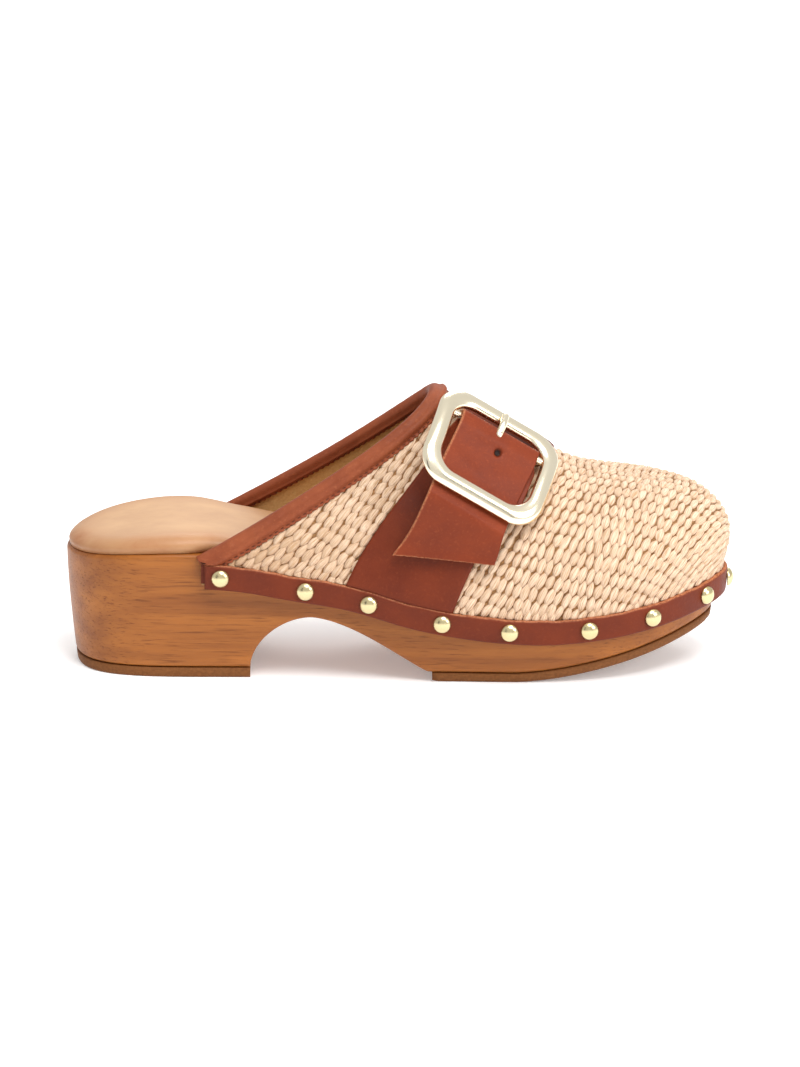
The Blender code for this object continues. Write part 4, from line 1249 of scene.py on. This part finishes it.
def buildBuckle():
    outline = roundedPath(buckle["length"] / 2, buckle["height"] / 2, buckle["corner"], 20)
    window = roundedPath(
        buckle["length"] / 2 - buckle["bar"], buckle["height"] / 2 - buckle["bar"], buckle["windowCorner"], 20
    )
    half = buckle["thickness"] / 2
    low = ((0.0, -0.1), (0.13, -0.7), (0.5, -0.95), (0.87, -0.7))
    high = ((1.0, -0.1), (0.9, 0.62), (0.55, 1.0), (0.16, 0.66))
    section = smoothLoop(low + high, 5)
    share, rise = section[:, 0], section[:, 1]
    place = outline[:, None, :] * (1 - share)[None, :, None] + window[:, None, :] * share[None, :, None]
    points = bent(place[..., 0], place[..., 1], np.broadcast_to(rise * half, place.shape[:2]))
    faces = gridQuads(points.shape[0], points.shape[1], closeRows=True, closeColumns=True)
    makePiece("buckleCasting", points, faces, [gold], ["buckle_frame"])
    reach = buckle["length"] / 2 - buckle["bar"] * 0.6
    barUp, barOut = buckle["barUp"], buckle["barOut"]
    bar = np.stack([np.linspace(-reach, reach, 30), np.full(30, barUp), np.full(30, barOut)], axis=1)
    rodPiece("buckleCentreBar", bar, buckle["centreBar"] / 2, [])
    radius = buckle["prong"] / 2
    roundBar = buckle["centreBar"] / 2 + sizes["gap"] + radius
    turns = np.linspace(-0.45 * halfTurn, -0.1, 14)
    hook = np.stack([barUp + roundBar * np.sin(turns), barOut + roundBar * np.cos(turns)], axis=1)
    rest = buckle["height"] / 2 - buckle["bar"]
    over = buckle["thickness"] * 0.43 + sizes["gap"] + radius
    finger = np.array([(barUp + 3 * mm, over), (rest - 0.5 * mm, over), (rest + buckle["bar"] * 0.25, over)])
    path = np.concatenate([hook, finger])
    path = np.concatenate([np.full((len(path), 1), buckle["prongAlong"]), path], axis=1)
    rodPiece("bucklePin", smoothPath(path, 5), radius, ["buckle_prong"])


# open smooth curve of the same cubics through points
def smoothPath(points, each):
    points = np.array(points, float)
    padded = np.concatenate([[2 * points[0] - points[1]], points, [2 * points[-1] - points[-2]]])
    return np.concatenate(cubicRuns(zip(padded, padded[1:], padded[2:], padded[3:]), each) + [points[-1:]])


# round rod along a path in the buckle's bent space, with domed ends
def rodPiece(name, path, radius, stands):
    heading = unit(np.gradient(path, axis=0))
    side = np.array((1.0, 0.0, 0.0)) if abs(heading[0, 0]) < 0.5 else np.array((0.0, 1.0, 0.0))
    other = unit(np.cross(heading, side))
    first = np.cross(other, heading)
    caps = np.linspace(0, quarterTurn, 6)
    rings, sizesAt = [], []
    for k in caps:
        rings.append(path[0] - heading[0] * radius * math.cos(k) * 0.6)
        sizesAt.append(math.sin(k))
    rings += list(path[1:-1])
    sizesAt += [1.0] * (len(path) - 2)
    for k in caps[::-1]:
        rings.append(path[-1] + heading[-1] * radius * math.cos(k) * 0.6)
        sizesAt.append(math.sin(k))
    rings = np.array(rings)
    repeat = [0] * len(caps) + list(range(1, len(path) - 1)) + [len(path) - 1] * len(caps)
    turns = np.arange(20) * 2 * halfTurn / 20
    first, other = (v[repeat][:, None, :] for v in (first, other))
    spokes = first * np.cos(turns)[None, :, None] + other * np.sin(turns)[None, :, None]
    place = rings[:, None, :] + spokes * radius * np.array(sizesAt)[:, None, None]
    points = bent(place[..., 0], place[..., 1], place[..., 2])
    faces = gridQuads(points.shape[0], points.shape[1], closeColumns=True)
    makePiece(name, points, faces, [gold], stands)


buildBuckle()
print("buckle made")


# points moved square to the vamp: drawn by pull towards the height least above it, and never below that
def settled(points, least, pull):
    station, angle = np.linspace(4, 9, 120)[:, None], np.linspace(0.1, quarterTurn, 100)[None, :]
    station, angle = np.broadcast_arrays(station, angle)
    face = skin(station, angle).reshape(-1, 3)
    facing = skinNormal(station, angle).reshape(-1, 3)
    flat = points.reshape(-1, 3)
    near = np.concatenate(
        [np.argmin(np.sum((face[None] - part[:, None]) ** 2, axis=2), axis=1) for part in np.array_split(flat, 40)]
    )
    height = np.sum((flat - face[near]) * facing[near], axis=1).reshape(points.shape[:2])
    wanted = np.maximum(height * (1 - pull) + least * pull, least)
    return points + facing[near].reshape(points.shape) * (wanted - height)[..., None]


def buildTab():
    half = buckle["tabThickness"] / 2
    fold = buckle["centreBar"] / 2 + sizes["gap"] + half
    lowBar = -buckle["height"] / 2 + buckle["bar"]
    underBar = -buckle["thickness"] * 0.45 - sizes["gap"] - half
    barUp, barOut = buckle["barUp"], buckle["barOut"]
    path = [(share * lowBar, underBar - buckle["tabThickness"]) for share in (0.75, 0.45, 0.15, -0.15)]
    path += [(barUp + fold * math.sin(t), barOut - fold * math.cos(t)) for t in np.linspace(0, halfTurn, 9)]
    path += [
        (barUp - 5 * mm, barOut + fold * 0.9),
        (barUp * 0.2, barOut + fold * 0.40),
        (lowBar * 0.62, underBar),
        (lowBar, underBar),
        (lowBar - buckle["bar"], underBar),
        (lowBar - buckle["bar"] - 4 * mm, underBar + 0.6 * mm),
    ]
    end = path[-1]
    path += [(end[0] - buckle["tailLength"] * s, end[1] + buckle["tailFlare"] * s) for s in (0.25, 0.5, 0.75, 1.0)]
    pull = np.array([1.0, 1.0, 1.0, 0.75] + [0.0] * 15 + [0.35, 0.65, 0.85, 0.93])
    smooth = smoothPath(np.concatenate([np.array(path), pull[:, None]], axis=1), 6)
    travel = np.concatenate([[0], np.cumsum(np.linalg.norm(np.diff(smooth[:, :2], axis=0), axis=1))])
    even = np.linspace(0, travel[-1], int(travel[-1] / (0.45 * mm)))
    smooth = np.stack([np.interp(even, travel, smooth[:, k]) for k in range(3)], axis=1)
    for step in range(8):
        smooth[1:-1] = smooth[:-2] / 4 + smooth[1:-1] / 2 + smooth[2:] / 4
    pull = np.clip(smooth[:, 2], 0, 1)
    edge = buckle["tabWidth"] / 2
    across = np.linspace(-edge, edge, 84)
    reach = np.clip((end[0] - smooth[:, 0]) / buckle["tailLength"], 0, 1)[:, None]
    up = smooth[:, :1] + buckle["tailSlant"] * across[None, :] / edge * reach
    front = np.arange(len(smooth)) > np.argmax(smooth[:, 0])
    # behind the window the under layer widens
    under = np.where(front, 0, np.clip((barUp - smooth[:, 0]) / (6 * mm), 0, 1))[:, None]
    under = under * (19 * mm / edge - 1)
    fanned = across * (1 + under + buckle["tailFan"] * reach) - buckle["tailSwing"] * reach
    rise = creased(fanned, up, tabCreases) * front[:, None]
    sheet = bent(fanned, up, smooth[:, 1:2] + rise)
    sheet = settled(sheet, sizes["strapThickness"] + 2 * sizes["gap"] + half, pull[:, None])
    along = np.gradient(sheet, axis=0)
    over = np.gradient(sheet, axis=1)
    normal = unit(np.cross(along, over))
    facing = np.sum(normal[-5, 40] * buckleOut)
    normal = normal * (1 if facing > 0 else -1)
    hole = np.hypot(fanned - buckle["holeAcross"], up - buckle["holeUp"]) / buckle["holeRadius"]
    hole = np.where(front[:, None], hole, 9)
    sunk = 1.25 * mm * np.clip(1.3 - hole, 0, 0.6) / 0.6 + 0.15 * mm * np.exp(-((hole - 1) ** 2) * 1.5)
    outer, inner = sheet + normal * (half - sunk)[..., None], sheet - normal * half
    raw = np.clip(1 - (across + edge)[None, :] / (0.8 * mm), 0, 1)
    raw = raw + np.clip(1 - (even[-1] - even)[:, None] / (0.5 * mm), 0, 1)
    # painted shade: the inside of the punched hole is darkened to near black
    tones = {"raw": np.clip(raw, 0, 1), "holeShade": np.clip((1.15 - hole) / 0.4, 0, 1)}
    leatherSheet("buckleTab", outer, inner, [tabLeather, rawEdge], ["buckle_tab"], tones=tones)


buildTab()
print("tab made")

# floor, light and camera
studio = {
    "target": (0.0892, 0.0, 0.0478),
    "elevation": 16.0,
    "distance": 6.0,
    "frameWidth": 0.30075,
    "world": 0.75,
    "floorGlow": 0.25,
    "lights": (  # name, place, size, power
        ("keyLight", (0.45, -0.7, 1.6), 0.9, 26),
        ("fillLight", (1.3, -0.8, 0.7), 0.6, 8),
        ("backLight", (0.2, 1.3, 1.2), 0.9, 7),
    ),
    "cards": (("darkCardLow", (-0.75, -1.1), 0.22), ("darkCardRight", (0.95, -1.2), 0.12)),
}


def buildStudio():
    mesh = bpy.data.meshes.new("studioFloor")
    reach = 4.0
    corners = [(-reach, -reach, 0), (reach, -reach, 0), (reach, reach, 0), (-reach, reach, 0)]
    mesh.from_pydata(corners, [], [(0, 1, 2, 3)])
    floor = bpy.data.objects.new("studioFloor", mesh)
    bpy.context.scene.collection.objects.link(floor)
    floorLook, tree, shader = newMaterial("palePaper", roughness=0.9)
    shader.inputs["Base Color"].default_value = (0.9, 0.9, 0.9, 1)
    shader.inputs["Emission Color"].default_value = (1, 1, 1, 1)
    shader.inputs["Emission Strength"].default_value = studio["floorGlow"]
    mesh.materials.append(floorLook)
    cardLook, tree, shader = newMaterial("darkCard", roughness=1.0, specular=0.0)
    shader.inputs["Base Color"].default_value = (0.02, 0.02, 0.02, 1)
    for name, middle, half in studio["cards"]:
        card = bpy.data.meshes.new(name)
        x, y = middle
        corners = [(x - half, y, 0.02), (x + half, y, 0.02), (x + half, y, 0.9), (x - half, y, 0.9)]
        card.from_pydata(corners, [], [(0, 1, 2, 3)])
        card.materials.append(cardLook)
        board = bpy.data.objects.new(name, card)
        bpy.context.scene.collection.objects.link(board)
    world = bpy.data.worlds.new("studio")
    bpy.context.scene.world = world
    world.use_nodes = True
    back = world.node_tree.nodes["Background"]
    back.inputs["Color"].default_value = (1, 1, 1, 1)
    back.inputs["Strength"].default_value = studio["world"]
    for name, place, size, power in studio["lights"]:
        light = bpy.data.lights.new(name, "AREA")
        light.size = size
        light.energy = power
        lamp = bpy.data.objects.new(name, light)
        lamp.location = place
        aim = np.array(studio["target"]) - np.array(place)
        lamp.rotation_euler = Vector(aim).to_track_quat("-Z", "Y").to_euler()
        bpy.context.scene.collection.objects.link(lamp)
    camera = bpy.data.cameras.new("photoCamera")
    camera.sensor_fit = "HORIZONTAL"
    camera.sensor_width = 36
    camera.lens = 36 * studio["distance"] / studio["frameWidth"]
    holder = bpy.data.objects.new("photoCamera", camera)
    tilt = math.radians(studio["elevation"])
    away = np.array([0, -math.cos(tilt), math.sin(tilt)]) * studio["distance"]
    holder.location = np.array(studio["target"]) + away
    holder.rotation_euler = (quarterTurn - tilt, 0, 0)
    bpy.context.scene.collection.objects.link(holder)
    bpy.context.scene.camera = holder
    bpy.context.scene.view_settings.view_transform = "Standard"


buildStudio()
print("studio made")
